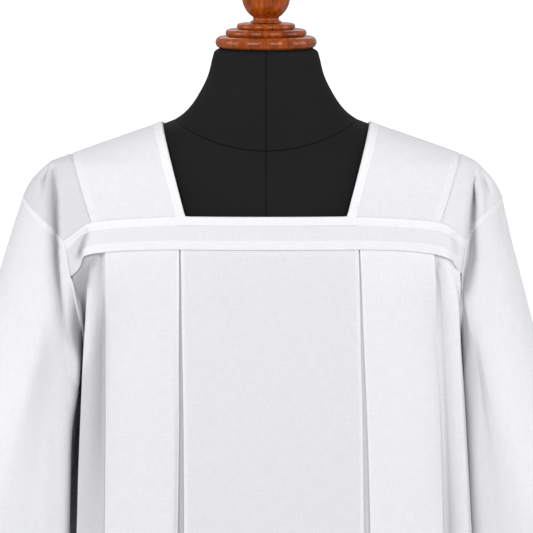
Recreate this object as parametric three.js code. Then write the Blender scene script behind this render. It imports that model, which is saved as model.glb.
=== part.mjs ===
// A white alb with a square neck and box pleats, on a limbless dress form.
// Millimetres, +Z up. The front faces -Y and the wearer's left is +X.
// The origin is the centre of the underside of the stand's base.
//
// Every piece of cloth is a thin wall on one of three shared surfaces: the yoke that lies over the
// shoulders, the pleated skirt below it, and the sleeves that hang from the armholes.

import * as THREE from 'three';

// ---- Driving dimensions ----------------------------------------------------------------------

const CLOTH = 1.2;              // thickness of a cloth wall
const SEAM = 0.4;               // gap between two sewn pieces
const BINDING_WIDTH = 9.5;      // the folded strip round the neck
const BINDING_THICK = 1.0;
const BINDING_LIFT = 0.5;       // clear of the cloth that it lies on

const RIDGE_NECK = 1480;        // height of the shoulder line at the neck opening
const RIDGE_STRAP = 1444;       // at the outer edge of the yoke strap
const RIDGE_ARM = 1395;         // at the armhole seam
const NECK_FRONT_HALF = 92;     // half the width of the square neck at its front edge
const NECK_RIDGE_HALF = 119;    // and on the shoulder line
const NECK_BACK_HEIGHT = 1442;  // height of the straight back neckline
const STRAP_FRONT = 197.5;      // outer edge of the strap where it meets the band
const PANEL_FRONT = 229;        // the armhole seam where it meets the top of the band
const BAND_END = 220;           // and the bottom of the band
const HEM_HEIGHT = 100;
const SHOULDER_SHIFT = 4;       // how far the shoulders and sleeves sit to the wearer's right
const STRAP_OUTER = 215;        // from this distance off the centre line
const SHOULDER_SPAN = 45;       // and fully this much further out

const UNDERARM = { left: 216, right: 208, height: 1238 };  // across, and height of the seam's lowest point

const TORSO_BOTTOM = 800;
const POLE_RADIUS = 16;
const BASE_RADIUS = 195;

// Level sections of the yoke, from the neck down to where sleeve and body part. Each is a
// superellipse: half its width, its depth before and behind the shoulder line, and its squareness.
const YOKE_SECTIONS = [
  { height: 1480, halfWidth: 119, front: 76, back: 82, square: 1.80 },
  { height: 1462, halfWidth: 171, front: 84, back: 88, square: 1.82 },
  { height: 1444, halfWidth: 221, front: 91, back: 93, square: 1.86 },
  { height: 1435, halfWidth: 242, front: 94.5, back: 95.5, square: 1.90 },
  { height: 1423, halfWidth: 256, front: 98.5, back: 98, square: 1.94 },
  { height: 1411, halfWidth: 266, front: 102, back: 100, square: 1.98 },
  { height: 1395, halfWidth: 274, front: 105.5, back: 102, square: 2.02 },
  { height: 1378, halfWidth: 280.5, front: 108.5, back: 103.5, square: 2.06 },
  { height: 1352, halfWidth: 289, front: 111.5, back: 105, square: 2.10 },
  { height: 1328, halfWidth: 296, front: 113, back: 105.5, square: 2.14 },
  { height: 1300, halfWidth: 304, front: 114, back: 106, square: 2.18 },
];

// Height of the band's two edges, by distance from the centre line.
const BAND_TOP = [
  { across: 0, height: 1380.5 },
  { across: 100, height: 1380.3 },
  { across: 150, height: 1377.5 },
  { across: STRAP_FRONT, height: 1371.8 },
  { across: PANEL_FRONT, height: 1350.5 },
];
const BAND_BOTTOM = [
  { across: 0, height: 1344 },
  { across: 100, height: 1344 },
  { across: 150, height: 1342.2 },
  { across: 186, height: 1337 },
  { across: 206, height: 1327.5 },
  { across: BAND_END, height: 1310.5 },
];

// Level sections of the skirt: the same measures, with how far its centre line stands to the
// wearer's left, and the spacing of the layers in a pleat, which opens towards the hem.
const SKIRT_SECTIONS = [
  { height: 1344, halfWidth: 212, front: 112.6, back: 105.6, square: 3.2, shift: 4, layer: 2.4 },
  { height: 1300, halfWidth: 213, front: 114, back: 107, square: 3.15, shift: 5, layer: 2.7 },
  { height: 1240, halfWidth: 214, front: 115.5, back: 108.5, square: 3.1, shift: 6, layer: 3.2 },
  { height: 1145, halfWidth: 221, front: 118, back: 111, square: 3.0, shift: 8, layer: 4.0 },
  { height: 1007, halfWidth: 230, front: 122, back: 115, square: 2.9, shift: 9, layer: 5.4 },
  { height: 700, halfWidth: 252, front: 137, back: 129, square: 2.7, shift: 9, layer: 9 },
  { height: 400, halfWidth: 276, front: 153, back: 145, square: 2.6, shift: 8, layer: 13 },
  { height: HEM_HEIGHT, halfWidth: 300, front: 170, back: 161, square: 2.5, shift: 7, layer: 17 },
];

// One side of the pleated cloth, from the centre line out to the last fold. Each row is a point
// of its level path: the layer it lies in, and its distance from the pleats' centre line at the
// band, at the waist and at the hem.
const PLEATS = [
  { layer: 0, band: 50, waist: 51, hem: 62 },        // middle of the box
  { layer: 0, band: 100, waist: 101.5, hem: 124 },   // fold of the box
  { layer: 1, band: 100, waist: 101.5, hem: 121 },
  { layer: 1, band: 72, waist: 74, hem: 100 },       // inner fold
  { layer: 2, band: 72, waist: 74, hem: 103 },
  { layer: 2, band: 134, waist: 138, hem: 178 },     // second inner fold
  { layer: 1, band: 134, waist: 138, hem: 181 },
  { layer: 1, band: 102.4, waist: 110, hem: 154 },
  { layer: 0, band: 102.4, waist: 110, hem: 150 },   // fold of the side pleat
  { layer: 0, band: 145, waist: 152, hem: 196 },     // its middle
  { layer: 0, band: 186, waist: 193, hem: 242 },     // its outer fold
  { layer: 1, band: 186, waist: 193, hem: 240 },
  { layer: 1, band: 165, waist: 171, hem: 214 },
  { layer: 2, band: 165, waist: 171, hem: 217 },
  { layer: 2, band: 182, waist: 190, hem: 236 },
];
const WAIST_HEIGHT = 1007;

// The plain cloth from the last fold to the side seam: how far round the section it has turned
// (90 is the side seam), its layer, and where it is sewn: at a distance along the band, or at a
// share of the way down the lower edge of the armhole.
const SIDE_CLOTH = [
  { turn: 57, layer: 2.2, band: 195 },
  { turn: 61, layer: 2.1, band: 206 },
  { turn: 66, layer: 1.8, armhole: 0 },
  { turn: 71, layer: 1.4, armhole: 0.2 },
  { turn: 76, layer: 1.1, armhole: 0.4 },
  { turn: 81, layer: 0.9, armhole: 0.6 },
  { turn: 86, layer: 0.7, armhole: 0.8 },
  { turn: 90, layer: 0.5, armhole: 1 },
];
const FRONT_BLEND = 0.09;       // share of the drop over which the cloth leaves the yoke's shape
const SIDE_BLEND = 0.15;        // and the armhole's
const MITRE_LIMIT = 0.65;       // how sharp a fold's corner may be before it is blunted
const SKIRT_DROPS = [0, 0.022, 0.05, 0.09, 0.15, 0.24, 0.36, 0.55, 0.77, 1];

// The cuff of each sleeve: where its centre hangs, and its half width, half depth and lean.
const CUFFS = {
  left: { across: 325, forward: 12, height: 838, halfWidth: 68, halfDepth: 60, lean: 7 },
  right: { across: 321, forward: 12, height: 838, halfWidth: 75, halfDepth: 58, lean: 7 },
};
const CUFF_SQUARE = 2.3;

// How each sleeve hangs: how far outwards the underarm seam sets off, how far the top of the
// sleeve follows the slope of the shoulder, and how far its edges lap over the skirt's side.
const HANG = {
  left: { leaves: 0.24, spread: 0.5, frontLap: 16, backLap: 34 },
  right: { leaves: 0.12, spread: 0.78, frontLap: 19, backLap: 34 },
};
// Where those laps lie: round the sleeve from the shoulder (1) to the underarm (-1), their breadth,
// and how near the front or the back they begin.
const LAPS = {
  front: { round: -0.65, breadth: 0.3, from: 0.3, over: 0.4 },
  back: { round: -0.55, breadth: 0.3, from: 0.4, over: 0.35 },
};
const LAP_START = 0.04;         // the laps grow from this share of the sleeve's length
const LAP_FULL = 0.24;
const LAP_END = 0.6;            // and fade from this one to the cuff
// The fold in front of the underarm: its size outwards, and where it lies along and round.
const TUCK = { by: 11, along: 0.09, reach: 0.07, round: -0.5, breadth: 0.5 };
const SLEEVE_DROPS = [0, 0.03, 0.07, 0.12, 0.18, 0.26, 0.36, 0.48, 0.64, 0.82, 1];
const SLEEVE_EASE = 0.8;        // how long each line of the sleeve keeps its first direction
const SLEEVE_BELLY = 15;        // how far the sleeve's front and back swell between its ends
const CUFF_SWING = { x: 0.09, y: 0.03 };  // how the lines of the sleeve arrive at the cuff
const SEAM_CORNER = 8;          // height over which the armhole seam turns from beside to below

// Level sections of the dress form.
const FORM_SECTIONS = [
  { height: TORSO_BOTTOM, halfWidth: 150, front: 84, back: 84, square: 2.2 },
  { height: 806, halfWidth: 162, front: 93, back: 94, square: 2.25 },
  { height: 840, halfWidth: 170, front: 100, back: 102, square: 2.3 },
  { height: 930, halfWidth: 174, front: 104, back: 106, square: 2.3 },
  { height: 1030, halfWidth: 162, front: 97, back: 94, square: 2.3 },
  { height: 1130, halfWidth: 152, front: 95, back: 86, square: 2.3 },
  { height: 1230, halfWidth: 168, front: 100, back: 90, square: 2.35 },
  { height: 1300, halfWidth: 180, front: 104, back: 96, square: 2.4 },
  { height: 1350, halfWidth: 194, front: 104, back: 97, square: 2.35 },
  { height: 1390, halfWidth: 208, front: 100.5, back: 95.5, square: 2.2 },
  { height: 1418, halfWidth: 215, front: 93, back: 93, square: 2.05 },
  { height: 1434, halfWidth: 214, front: 87, back: 90, square: 1.92 },
  { height: 1446, halfWidth: 206, front: 82.5, back: 87, square: 1.84 },
  { height: 1456, halfWidth: 184.8, front: 79.2, back: 84.2, square: 1.79 },
  { height: 1468, halfWidth: 150.4, front: 75.6, back: 81.1, square: 1.77 },
  { height: 1478, halfWidth: 120, front: 72.5, back: 78, square: 1.79 },
  { height: 1484, halfWidth: 104, front: 70, back: 75, square: 1.88 },
  { height: 1496, halfWidth: 89, front: 67.5, back: 71.5, square: 1.96 },
  { height: 1514, halfWidth: 76.5, front: 64.5, back: 67, square: 2 },
  { height: 1536, halfWidth: 66, front: 61, back: 62, square: 2 },
  { height: 1556, halfWidth: 61, front: 59.5, back: 60, square: 2 },
  { height: 1562, halfWidth: 59, front: 57.5, back: 58, square: 2 },
  { height: 1565, halfWidth: 54, front: 53, back: 53, square: 2 },
];
const FORM_SIDES = 40;

// ---- Small tools -----------------------------------------------------------------------------

const mix = (a, b, t) => a + (b - a) * t;
const clamp = (t) => Math.min(1, Math.max(0, t));
const ease = (t) => clamp(t) ** 2 * (3 - 2 * clamp(t));
const bell = (t, middle, reach) => Math.exp(-(((t - middle) / reach) ** 2));
const radians = (degrees) => (degrees * Math.PI) / 180;
const spread = (from, to, steps) =>
  Array.from({ length: steps + 1 }, (_, i) => mix(from, to, i / steps));

/** Read one column of a table at a given key, along a smooth curve through its rows. */
function read(table, key, column, at) {
  const rows = table[0][key] < table[table.length - 1][key] ? table : [...table].reverse();
  const last = rows.length - 1;
  const x = Math.min(rows[last][key], Math.max(rows[0][key], at));
  let i = 0;
  while (i < last - 1 && x > rows[i + 1][key]) i += 1;
  const rise = (a, b) => (rows[b][column] - rows[a][column]) / (rows[b][key] - rows[a][key]);
  const here = rise(i, i + 1);
  const gentle = (other) => (other * here <= 0 ? 0 : (2 * other * here) / (other + here));
  const slopeA = i > 0 ? gentle(rise(i - 1, i)) : here;
  const slopeB = i < last - 1 ? gentle(rise(i + 1, i + 2)) : here;
  const span = rows[i + 1][key] - rows[i][key];
  const t = (x - rows[i][key]) / span;
  const a = rows[i][column];
  const b = rows[i + 1][column];
  return (2 * t ** 3 - 3 * t ** 2 + 1) * a + (t ** 3 - 2 * t ** 2 + t) * span * slopeA
    + (3 * t ** 2 - 2 * t ** 3) * b + (t ** 3 - t ** 2) * span * slopeB;
}

/** Depth of a superellipse section at a distance across it. */
function depthAt(section, facing, across) {
  const reach = facing < 0 ? section.front : section.back;
  const share = Math.min(1, Math.abs(across) / section.halfWidth);
  return facing * reach * (1 - share ** section.square) ** (1 / section.square);
}

/** All the columns of a section table at one height. */
function sectionAt(table, height) {
  const section = { height };
  for (const column of Object.keys(table[0])) {
    if (column !== 'height') section[column] = read(table, 'height', column, height);
  }
  return section;
}

/** A closed solid between two grids of points. Loops close round each row. */
function wall(inner, outer, loop = false) {
  const rows = inner.length;
  const cols = inner[0].length;
  const spots = [];
  for (const grid of [inner, outer]) for (const row of grid) for (const p of row) spots.push(p.x, p.y, p.z);
  const at = (side, r, c) => side * rows * cols + r * cols + (c % cols);
  const index = [];
  const quad = (a, b, c, d) => index.push(a, b, c, a, c, d);
  const spans = loop ? cols : cols - 1;
  for (let r = 0; r < rows - 1; r += 1) {
    for (let c = 0; c < spans; c += 1) {
      quad(at(1, r, c), at(1, r, c + 1), at(1, r + 1, c + 1), at(1, r + 1, c));
      quad(at(0, r, c), at(0, r + 1, c), at(0, r + 1, c + 1), at(0, r, c + 1));
    }
  }
  for (let c = 0; c < spans; c += 1) {
    quad(at(0, 0, c), at(0, 0, c + 1), at(1, 0, c + 1), at(1, 0, c));
    quad(at(1, rows - 1, c), at(1, rows - 1, c + 1), at(0, rows - 1, c + 1), at(0, rows - 1, c));
  }
  if (!loop) {
    for (let r = 0; r < rows - 1; r += 1) {
      quad(at(1, r, 0), at(1, r + 1, 0), at(0, r + 1, 0), at(0, r, 0));
      quad(at(0, r, cols - 1), at(0, r + 1, cols - 1), at(1, r + 1, cols - 1), at(1, r, cols - 1));
    }
  }
  return facingOut(spots, index);
}

/** A solid through closed level rings, with a flat cap at each end. */
function loft(rings) {
  const sides = rings[0].length;
  const spots = rings.flatMap((ring) => ring.flatMap((p) => [p.x, p.y, p.z]));
  const index = [];
  for (let r = 0; r < rings.length - 1; r += 1) {
    for (let c = 0; c < sides; c += 1) {
      const next = (c + 1) % sides;
      const a = r * sides;
      index.push(a + c, a + next, a + sides + next, a + c, a + sides + next, a + sides + c);
    }
  }
  for (const [ring, turned] of [[0, true], [rings.length - 1, false]]) {
    const middle = new THREE.Vector3();
    for (const p of rings[ring]) middle.addScaledVector(p, 1 / sides);
    const hub = spots.length / 3;
    spots.push(middle.x, middle.y, middle.z);
    for (let c = 0; c < sides; c += 1) {
      const a = ring * sides + c;
      const b = ring * sides + ((c + 1) % sides);
      if (turned) index.push(hub, b, a);
      else index.push(hub, a, b);
    }
  }
  return facingOut(spots, index);
}

/** A geometry from points and triangles, turned so that its faces point out. */
function facingOut(spots, index) {
  const point = (i) => new THREE.Vector3().fromArray(spots, 3 * i);
  let volume = 0;
  for (let i = 0; i < index.length; i += 3) {
    volume += point(index[i]).dot(point(index[i + 1]).cross(point(index[i + 2])));
  }
  if (volume < 0) index.reverse();
  const geometry = new THREE.BufferGeometry();
  geometry.setAttribute('position', new THREE.Float32BufferAttribute(spots, 3));
  geometry.setIndex(index);
  geometry.computeVertexNormals();
  return geometry;
}

/** The garment sits a little to the wearer's right beyond the yoke straps. */
const settled = (p) =>
  new THREE.Vector3(p.x - SHOULDER_SHIFT * ease((Math.abs(p.x) - STRAP_OUTER) / SHOULDER_SPAN), p.y, p.z);

/** A wall of cloth, with the garment's settling worked in. */
const clothWall = (inner, outer, loop = false) =>
  wall(inner.map((row) => row.map(settled)), outer.map((row) => row.map(settled)), loop);

/** Mirror a grid of points to the wearer's right. */
const mirrored = (grid) => grid.map((row) => row.map((p) => new THREE.Vector3(-p.x, p.y, p.z)));
const bySide = (side, grid) => (side === 'left' ? grid : mirrored(grid));

// ---- The yoke --------------------------------------------------------------------------------

/** A point of the yoke's surface, before (facing -1) or behind (facing 1) the shoulder line. */
function onYoke(across, height, facing) {
  return new THREE.Vector3(across, depthAt(sectionAt(YOKE_SECTIONS, height), facing, across), height);
}

/** The direction straight out of the yoke's surface at one of its points. */
function outOfYoke(p) {
  const step = 0.5;
  const level = (x, y, z) => {
    const s = sectionAt(YOKE_SECTIONS, z);
    const reach = y < 0 ? s.front : s.back;
    return Math.abs(x / s.halfWidth) ** s.square + Math.abs(y / reach) ** s.square;
  };
  const slope = (dx, dy, dz) => level(p.x + dx, p.y + dy, p.z + dz) - level(p.x - dx, p.y - dy, p.z - dz);
  return new THREE.Vector3(slope(step, 0, 0), slope(0, step, 0), slope(0, 0, step)).normalize();
}

/** The wall over a grid of yoke points, from one distance off the surface to another. */
function yokeWall(grid, near = 0, far = CLOTH, loop = false) {
  const lifted = (by) => grid.map((row) => row.map((p) => p.clone().addScaledVector(outOfYoke(p), by)));
  return clothWall(lifted(near), lifted(far), loop);
}

/** Half the width of the yoke on the shoulder line. */
const ridgeWidth = (height) => read(YOKE_SECTIONS, 'height', 'halfWidth', height);

/** The neck edge, which runs straight from the band to the shoulder line. */
const neckHalf = (height) =>
  mix(NECK_FRONT_HALF, NECK_RIDGE_HALF, (height - BAND_TOP[0].height) / (RIDGE_NECK - BAND_TOP[0].height));

/**
 * A point between the shoulder line and the band. `down` runs from -1 at the back band over the
 * shoulder line to 1 at the front band, and the point lies on the line from the ridge at
 * `ridgeHeight` to the band at `bandAcross`.
 */
function overShoulder(ridgeHeight, bandAcross, down) {
  const facing = down < 0 ? 1 : -1;
  const way = 1 - Math.cos((Math.abs(down) * Math.PI) / 2);
  const bandHeight = read(BAND_TOP, 'across', 'height', bandAcross) + SEAM;
  const across = mix(ridgeWidth(ridgeHeight), bandAcross, way);
  return onYoke(across, mix(ridgeHeight, bandHeight, way), facing);
}

const STRAP_COLUMNS = 5;
const PANEL_COLUMNS = 4;
const SHOULDER_ROWS = [-1, -0.84, -0.68, -0.52, -0.36, -0.2, 0, 0.2, 0.36, 0.52, 0.68, 0.84, 1];

/** The strap from the back band over the shoulder to the front band. */
function strapPoints() {
  const seam = SEAM / (STRAP_FRONT - NECK_FRONT_HALF);
  return SHOULDER_ROWS.map((down) => spread(0, 1, STRAP_COLUMNS).map((u) => {
    const share = Math.min(u, 1 - seam);
    return overShoulder(mix(RIDGE_NECK, RIDGE_STRAP, share), mix(NECK_FRONT_HALF, STRAP_FRONT, share), down);
  }));
}

/** The panel between the strap and the armhole seam. */
function shoulderPanelPoints() {
  return SHOULDER_ROWS.map((down) => spread(0, 1, PANEL_COLUMNS).map((u) =>
    overShoulder(mix(RIDGE_STRAP, RIDGE_ARM, u), mix(STRAP_FRONT, PANEL_FRONT, u), down)));
}

/** The band across the front (-1) or the back (1), with ends that follow the armhole seams. */
function bandPoints(facing) {
  const along = [
    0, NECK_FRONT_HALF / 2, ...spread(NECK_FRONT_HALF, STRAP_FRONT, STRAP_COLUMNS).slice(0, -1),
    ...spread(STRAP_FRONT, PANEL_FRONT, PANEL_COLUMNS),
  ].map((across) => across / PANEL_FRONT);
  const both = [...along.slice(1).reverse().map((s) => -s), ...along];
  return spread(0, 1, 2).map((t) => both.map((s) => {
    const top = PANEL_FRONT * s;
    const bottom = BAND_END * s;
    const high = read(BAND_TOP, 'across', 'height', Math.abs(top));
    const low = read(BAND_BOTTOM, 'across', 'height', Math.abs(bottom));
    return onYoke(mix(top, bottom, t), mix(high, low, t), facing);
  }));
}

/** The piece between the straps, from the back neckline down to the back band. */
function backYokePoints() {
  return spread(NECK_BACK_HEIGHT, BAND_TOP[0].height + SEAM, 4).map((height) =>
    spread(-1, 1, 10).map((s) => onYoke(s * (neckHalf(height) - SEAM), height, 1)));
}

/** The two edges of the strip round the neck, as loops that run the same way round. */
function bindingLoops() {
  const bottom = BAND_TOP[0].height;
  const strapUp = [1, 0.84, 0.68, 0.52, 0.36, 0.2, 0, -0.2, -0.36, -0.52];
  const edge = [];
  const outer = [];
  for (const s of spread(-1, 1, 8).slice(1, -1)) {
    edge.push(onYoke(s * NECK_FRONT_HALF, bottom, -1));
    outer.push(onYoke(s * (NECK_FRONT_HALF + BINDING_WIDTH), bottom - BINDING_WIDTH, -1));
  }
  const share = BINDING_WIDTH / (STRAP_FRONT - NECK_FRONT_HALF);
  const side = (sign, list) => list.forEach((down) => {
    const a = overShoulder(RIDGE_NECK, NECK_FRONT_HALF, down);
    const width = mix(NECK_FRONT_HALF, STRAP_FRONT, share);
    const b = overShoulder(mix(RIDGE_NECK, RIDGE_STRAP, share), width, down);
    if (down === 1) b.copy(onYoke(b.x, bottom - BINDING_WIDTH, -1));
    for (const p of [a, b]) p.x *= sign;
    edge.push(a);
    outer.push(b);
  });
  side(1, strapUp);
  for (const s of spread(1, -1, 8)) {
    const wide = neckHalf(NECK_BACK_HEIGHT);
    edge.push(onYoke(s * wide, NECK_BACK_HEIGHT, 1));
    outer.push(onYoke(s * (wide + BINDING_WIDTH * 0.6), NECK_BACK_HEIGHT - BINDING_WIDTH, 1));
  }
  side(-1, [...strapUp].reverse());
  return [edge, outer];
}

// ---- The armhole -----------------------------------------------------------------------------

/** The lower edge of the armhole, from the end of the band (0) to the underarm (1). */
function lowerArmhole(share, facing, side) {
  const start = onYoke(BAND_END, BAND_BOTTOM[BAND_BOTTOM.length - 1].height, facing);
  const turn = radians(90 * share);
  return new THREE.Vector3(
    mix(start.x, UNDERARM[side], Math.sin(turn)),
    start.y * Math.cos(turn) ** 0.9,
    mix(UNDERARM.height, start.z, (1 - share) ** 1.5),
  );
}

/** The whole armhole seam, from the shoulder line down the front and up the back. */
function armholeLoop(side) {
  const panelDowns = SHOULDER_ROWS.filter((down) => down >= 0);
  const panelEdge = (sign) => panelDowns.map((down) => overShoulder(RIDGE_ARM, PANEL_FRONT, sign * down));
  const front = panelEdge(1);
  const back = panelEdge(-1);
  const lower = SIDE_CLOTH.filter((row) => !row.band).map((row) => row.armhole);
  const bandEdge = (facing) => [1 / 3, 2 / 3].map((t) => {
    const high = read(BAND_TOP, 'across', 'height', PANEL_FRONT);
    const low = read(BAND_BOTTOM, 'across', 'height', BAND_END);
    return onYoke(mix(PANEL_FRONT, BAND_END, t), mix(high, low, t), facing);
  });
  return [
    ...front,
    ...bandEdge(-1),
    ...lower.map((share) => lowerArmhole(share, -1, side)),
    ...lower.slice(0, -1).reverse().map((share) => lowerArmhole(share, 1, side)),
    ...bandEdge(1).reverse(),
    ...back.slice(1).reverse(),
  ];
}

// ---- The pleated skirt -----------------------------------------------------------------------

/** Distance of a pleat's point from the pleats' centre line at one height. */
function pleatAcross(row, height) {
  const top = BAND_BOTTOM[0].height;
  if (height > WAIST_HEIGHT) return mix(row.band, row.waist, (top - height) / (top - WAIST_HEIGHT));
  return mix(row.waist, row.hem, (WAIST_HEIGHT - height) / (WAIST_HEIGHT - HEM_HEIGHT));
}

/** A point of a level section, turned from the front (0) to the side (90) and set in by a layer. */
function onSkirt(section, facing, side, across, turn, layer) {
  const n = section.square;
  const reach = facing < 0 ? section.front : section.back;
  const angle = turn === null
    ? Math.asin(Math.min(1, (across / section.halfWidth) ** (n / 2)))
    : radians(turn);
  const x = section.halfWidth * Math.sin(angle) ** (2 / n);
  const y = reach * Math.max(0, Math.cos(angle)) ** (2 / n);
  const slope = (at, half) => (at / half) ** (n - 1) / half;
  const out = new THREE.Vector2(slope(x, section.halfWidth), slope(y, reach)).normalize();
  const set = layer * section.layer;
  return new THREE.Vector3(
    section.shift + side * (x - out.x * set), facing * (y - out.y * set), section.height,
  );
}

/** The level path of the skirt at one share of its drop, from one side seam to the other. */
function skirtPath(facing, drop) {
  const half = (side) => {
    const points = PLEATS.map((row) => {
      const topAcross = Math.abs(SKIRT_SECTIONS[0].shift + side * row.band);
      const top = read(BAND_BOTTOM, 'across', 'height', topAcross) - SEAM;
      const height = mix(top, HEM_HEIGHT, drop);
      const s = sectionAt(SKIRT_SECTIONS, height);
      const p = onSkirt(s, facing, side, pleatAcross(row, height), null, row.layer);
      const held = depthAt(sectionAt(YOKE_SECTIONS, height), facing, p.x) + facing * CLOTH / 2;
      p.y = mix(held - facing * row.layer * s.layer, p.y, ease(drop / FRONT_BLEND));
      return p;
    });
    for (const row of SIDE_CLOTH) {
      const seam = row.band
        ? onYoke(row.band, read(BAND_BOTTOM, 'across', 'height', row.band), facing)
        : lowerArmhole(row.armhole, facing, side > 0 ? 'left' : 'right');
      seam.multiply(new THREE.Vector3(side, 1, 1));
      seam.z -= 2 * SEAM;
      const height = mix(seam.z, HEM_HEIGHT, drop);
      const p = onSkirt(sectionAt(SKIRT_SECTIONS, height), facing, side, 0, row.turn, row.layer);
      if (row.armhole === 1) p.y = facing * SEAM / 2;
      points.push(seam.lerp(p.setZ(height), ease(drop / SIDE_BLEND)).setZ(height));
    }
    const lastPoint = points[points.length - 1];
    lastPoint.y = facing * (SEAM / 2 + CLOTH / 2);
    return points;
  };
  const centre = sectionAt(SKIRT_SECTIONS, mix(BAND_BOTTOM[0].height - SEAM, HEM_HEIGHT, drop));
  const middle = onSkirt(centre, facing, 1, 0, null, 0);
  return [...half(-1).reverse(), middle, ...half(1)];
}

/** Move a set of paths off their own surface by an amount, with square corners at the folds. */
function besidePaths(paths, by) {
  return paths.map((path, r) => path.map((p, c) => {
    const down = paths[Math.min(paths.length - 1, r + 1)][c].clone().sub(paths[Math.max(0, r - 1)][c]);
    const normal = (a, b) => b.clone().sub(a).cross(down).normalize();
    const first = c > 0 ? normal(path[c - 1], p) : normal(p, path[c + 1]);
    const second = c < path.length - 1 ? normal(p, path[c + 1]) : first;
    const both = first.clone().add(second).normalize();
    return p.clone().addScaledVector(both, by / Math.max(MITRE_LIMIT, both.dot(first)));
  }));
}

function skirt(facing) {
  const paths = SKIRT_DROPS.map((drop) => skirtPath(facing, drop));
  return clothWall(besidePaths(paths, -CLOTH / 2), besidePaths(paths, CLOTH / 2));
}

// ---- The sleeves -----------------------------------------------------------------------------

/** How fully a lap acts at one place, along the sleeve and round it. */
function lapAt(lap, along, outward, towards) {
  const grown = ease((along - LAP_START) / (LAP_FULL - LAP_START)) * ease((1 - along) / (1 - LAP_END));
  return grown * bell(outward, lap.round, lap.breadth) * ease((towards - lap.from) / lap.over);
}

/** The rings of one sleeve, from the armhole seam to the cuff. */
function sleeveRings(side) {
  const seam = armholeLoop(side);
  const cuff = CUFFS[side];
  const hang = HANG[side];
  const count = seam.length;
  const lengths = seam.map((p, i) => p.distanceTo(seam[(i + 1) % count]));
  const whole = lengths.reduce((a, b) => a + b, 0);
  const lean = radians(cuff.lean);
  const bandFoot = read(BAND_BOTTOM, 'across', 'height', BAND_END);
  let walked = 0;
  const rails = seam.map((start, i) => {
    const turn = (2 * Math.PI * walked) / whole;
    walked += lengths[i];
    const outward = Math.cos(turn);
    const forward = Math.sin(turn);
    const rounded = (v) => Math.sign(v) * Math.abs(v) ** (2 / CUFF_SQUARE);
    const end = new THREE.Vector3(
      cuff.across + cuff.halfWidth * rounded(outward) * Math.cos(lean),
      -cuff.forward - cuff.halfDepth * rounded(forward),
      cuff.height + cuff.halfWidth * rounded(outward) * Math.sin(lean),
    );
    const length = start.distanceTo(end);
    const normal = outOfYoke(start);
    const lower = ease((0.35 - outward) / 0.7);
    const below = clamp((bandFoot + SEAM_CORNER - start.z) / (1.5 * SEAM_CORNER));
    const seamRun = seam[(i + 1) % count].clone().sub(seam[(i + count - 1) % count]);
    const away = normal.clone().cross(seamRun).normalize().multiplyScalar(2 * SEAM * (1 - below));
    away.x += (1.5 * CLOTH + 1.5 * SEAM) * below;
    away.z -= 2 * SEAM * below;
    const slide = new THREE.Vector3(0, 0, -1).addScaledVector(normal, normal.z).normalize();
    slide.x *= hang.spread;
    const under = new THREE.Vector3(hang.leaves, 0, -1).normalize();
    const leave = slide.lerp(under, lower).normalize().multiplyScalar(SLEEVE_EASE * length);
    const swing = new THREE.Vector3(CUFF_SWING.x, CUFF_SWING.y * forward, -1);
    const arrive = swing.normalize().multiplyScalar(length);
    return { start: start.clone().add(away), end, leave, arrive, outward, forward };
  });
  return SLEEVE_DROPS.map((t) => rails.map((rail) => {
    const p = new THREE.Vector3()
      .addScaledVector(rail.start, 2 * t ** 3 - 3 * t ** 2 + 1)
      .addScaledVector(rail.leave, t ** 3 - 2 * t ** 2 + t)
      .addScaledVector(rail.end, 3 * t ** 2 - 2 * t ** 3)
      .addScaledVector(rail.arrive, t ** 3 - t ** 2);
    p.y -= SLEEVE_BELLY * rail.forward * Math.sin(Math.PI * t) ** 2;
    const tuck = bell(t, TUCK.along, TUCK.reach) * bell(rail.outward, TUCK.round, TUCK.breadth);
    p.x += TUCK.by * tuck * ease(t / TUCK.reach);
    const frontLap = hang.frontLap * lapAt(LAPS.front, t, rail.outward, rail.forward);
    const backLap = hang.backLap * lapAt(LAPS.back, t, rail.outward, -rail.forward);
    p.x -= frontLap + backLap;
    p.y += 0.5 * (backLap - frontLap);
    return p;
  }));
}

/** Offset a tube's rings along its own surface. */
function besideRings(rings, by) {
  const rows = rings.length;
  const count = rings[0].length;
  return rings.map((ring, r) => ring.map((p, c) => {
    const around = ring[(c + 1) % count].clone().sub(ring[(c + count - 1) % count]);
    const along = rings[Math.min(rows - 1, r + 1)][c].clone().sub(rings[Math.max(0, r - 1)][c]);
    return p.clone().addScaledVector(around.cross(along).normalize(), by);
  }));
}

function sleeve(side) {
  const rings = bySide(side, sleeveRings(side));
  const sign = side === 'left' ? 1 : -1;
  return clothWall(besideRings(rings, 0), besideRings(rings, sign * CLOTH), true);
}

// ---- The dress form --------------------------------------------------------------------------

/** A closed ring of a superellipse section. */
function formRing(section) {
  return spread(0, 2 * Math.PI, FORM_SIDES).slice(1).map((angle) => {
    const c = Math.cos(angle);
    const s = Math.sin(angle);
    const reach = s < 0 ? section.front : section.back;
    return new THREE.Vector3(
      section.halfWidth * Math.sign(c) * Math.abs(c) ** (2 / section.square),
      reach * Math.sign(s) * Math.abs(s) ** (2 / section.square),
      section.height,
    );
  });
}

const torso = () => loft(FORM_SECTIONS.map(formRing));

/** A turned piece from a profile of [radius, height], closed on the axis at both ends. */
function turned(profile, segments) {
  const points = profile.map(([radius, height]) => new THREE.Vector2(radius, height));
  const geometry = new THREE.LatheGeometry(points, segments);
  geometry.rotateX(Math.PI / 2);
  return geometry;
}

/** Points of a rounded rim, from its lower to its upper side. */
const rim = (radius, middle, round, steps = 5) => spread(-78, 78, steps).map((angle) => [
  radius - round + round * Math.cos(radians(angle)),
  middle + round * Math.sin(radians(angle)),
]);

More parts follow.
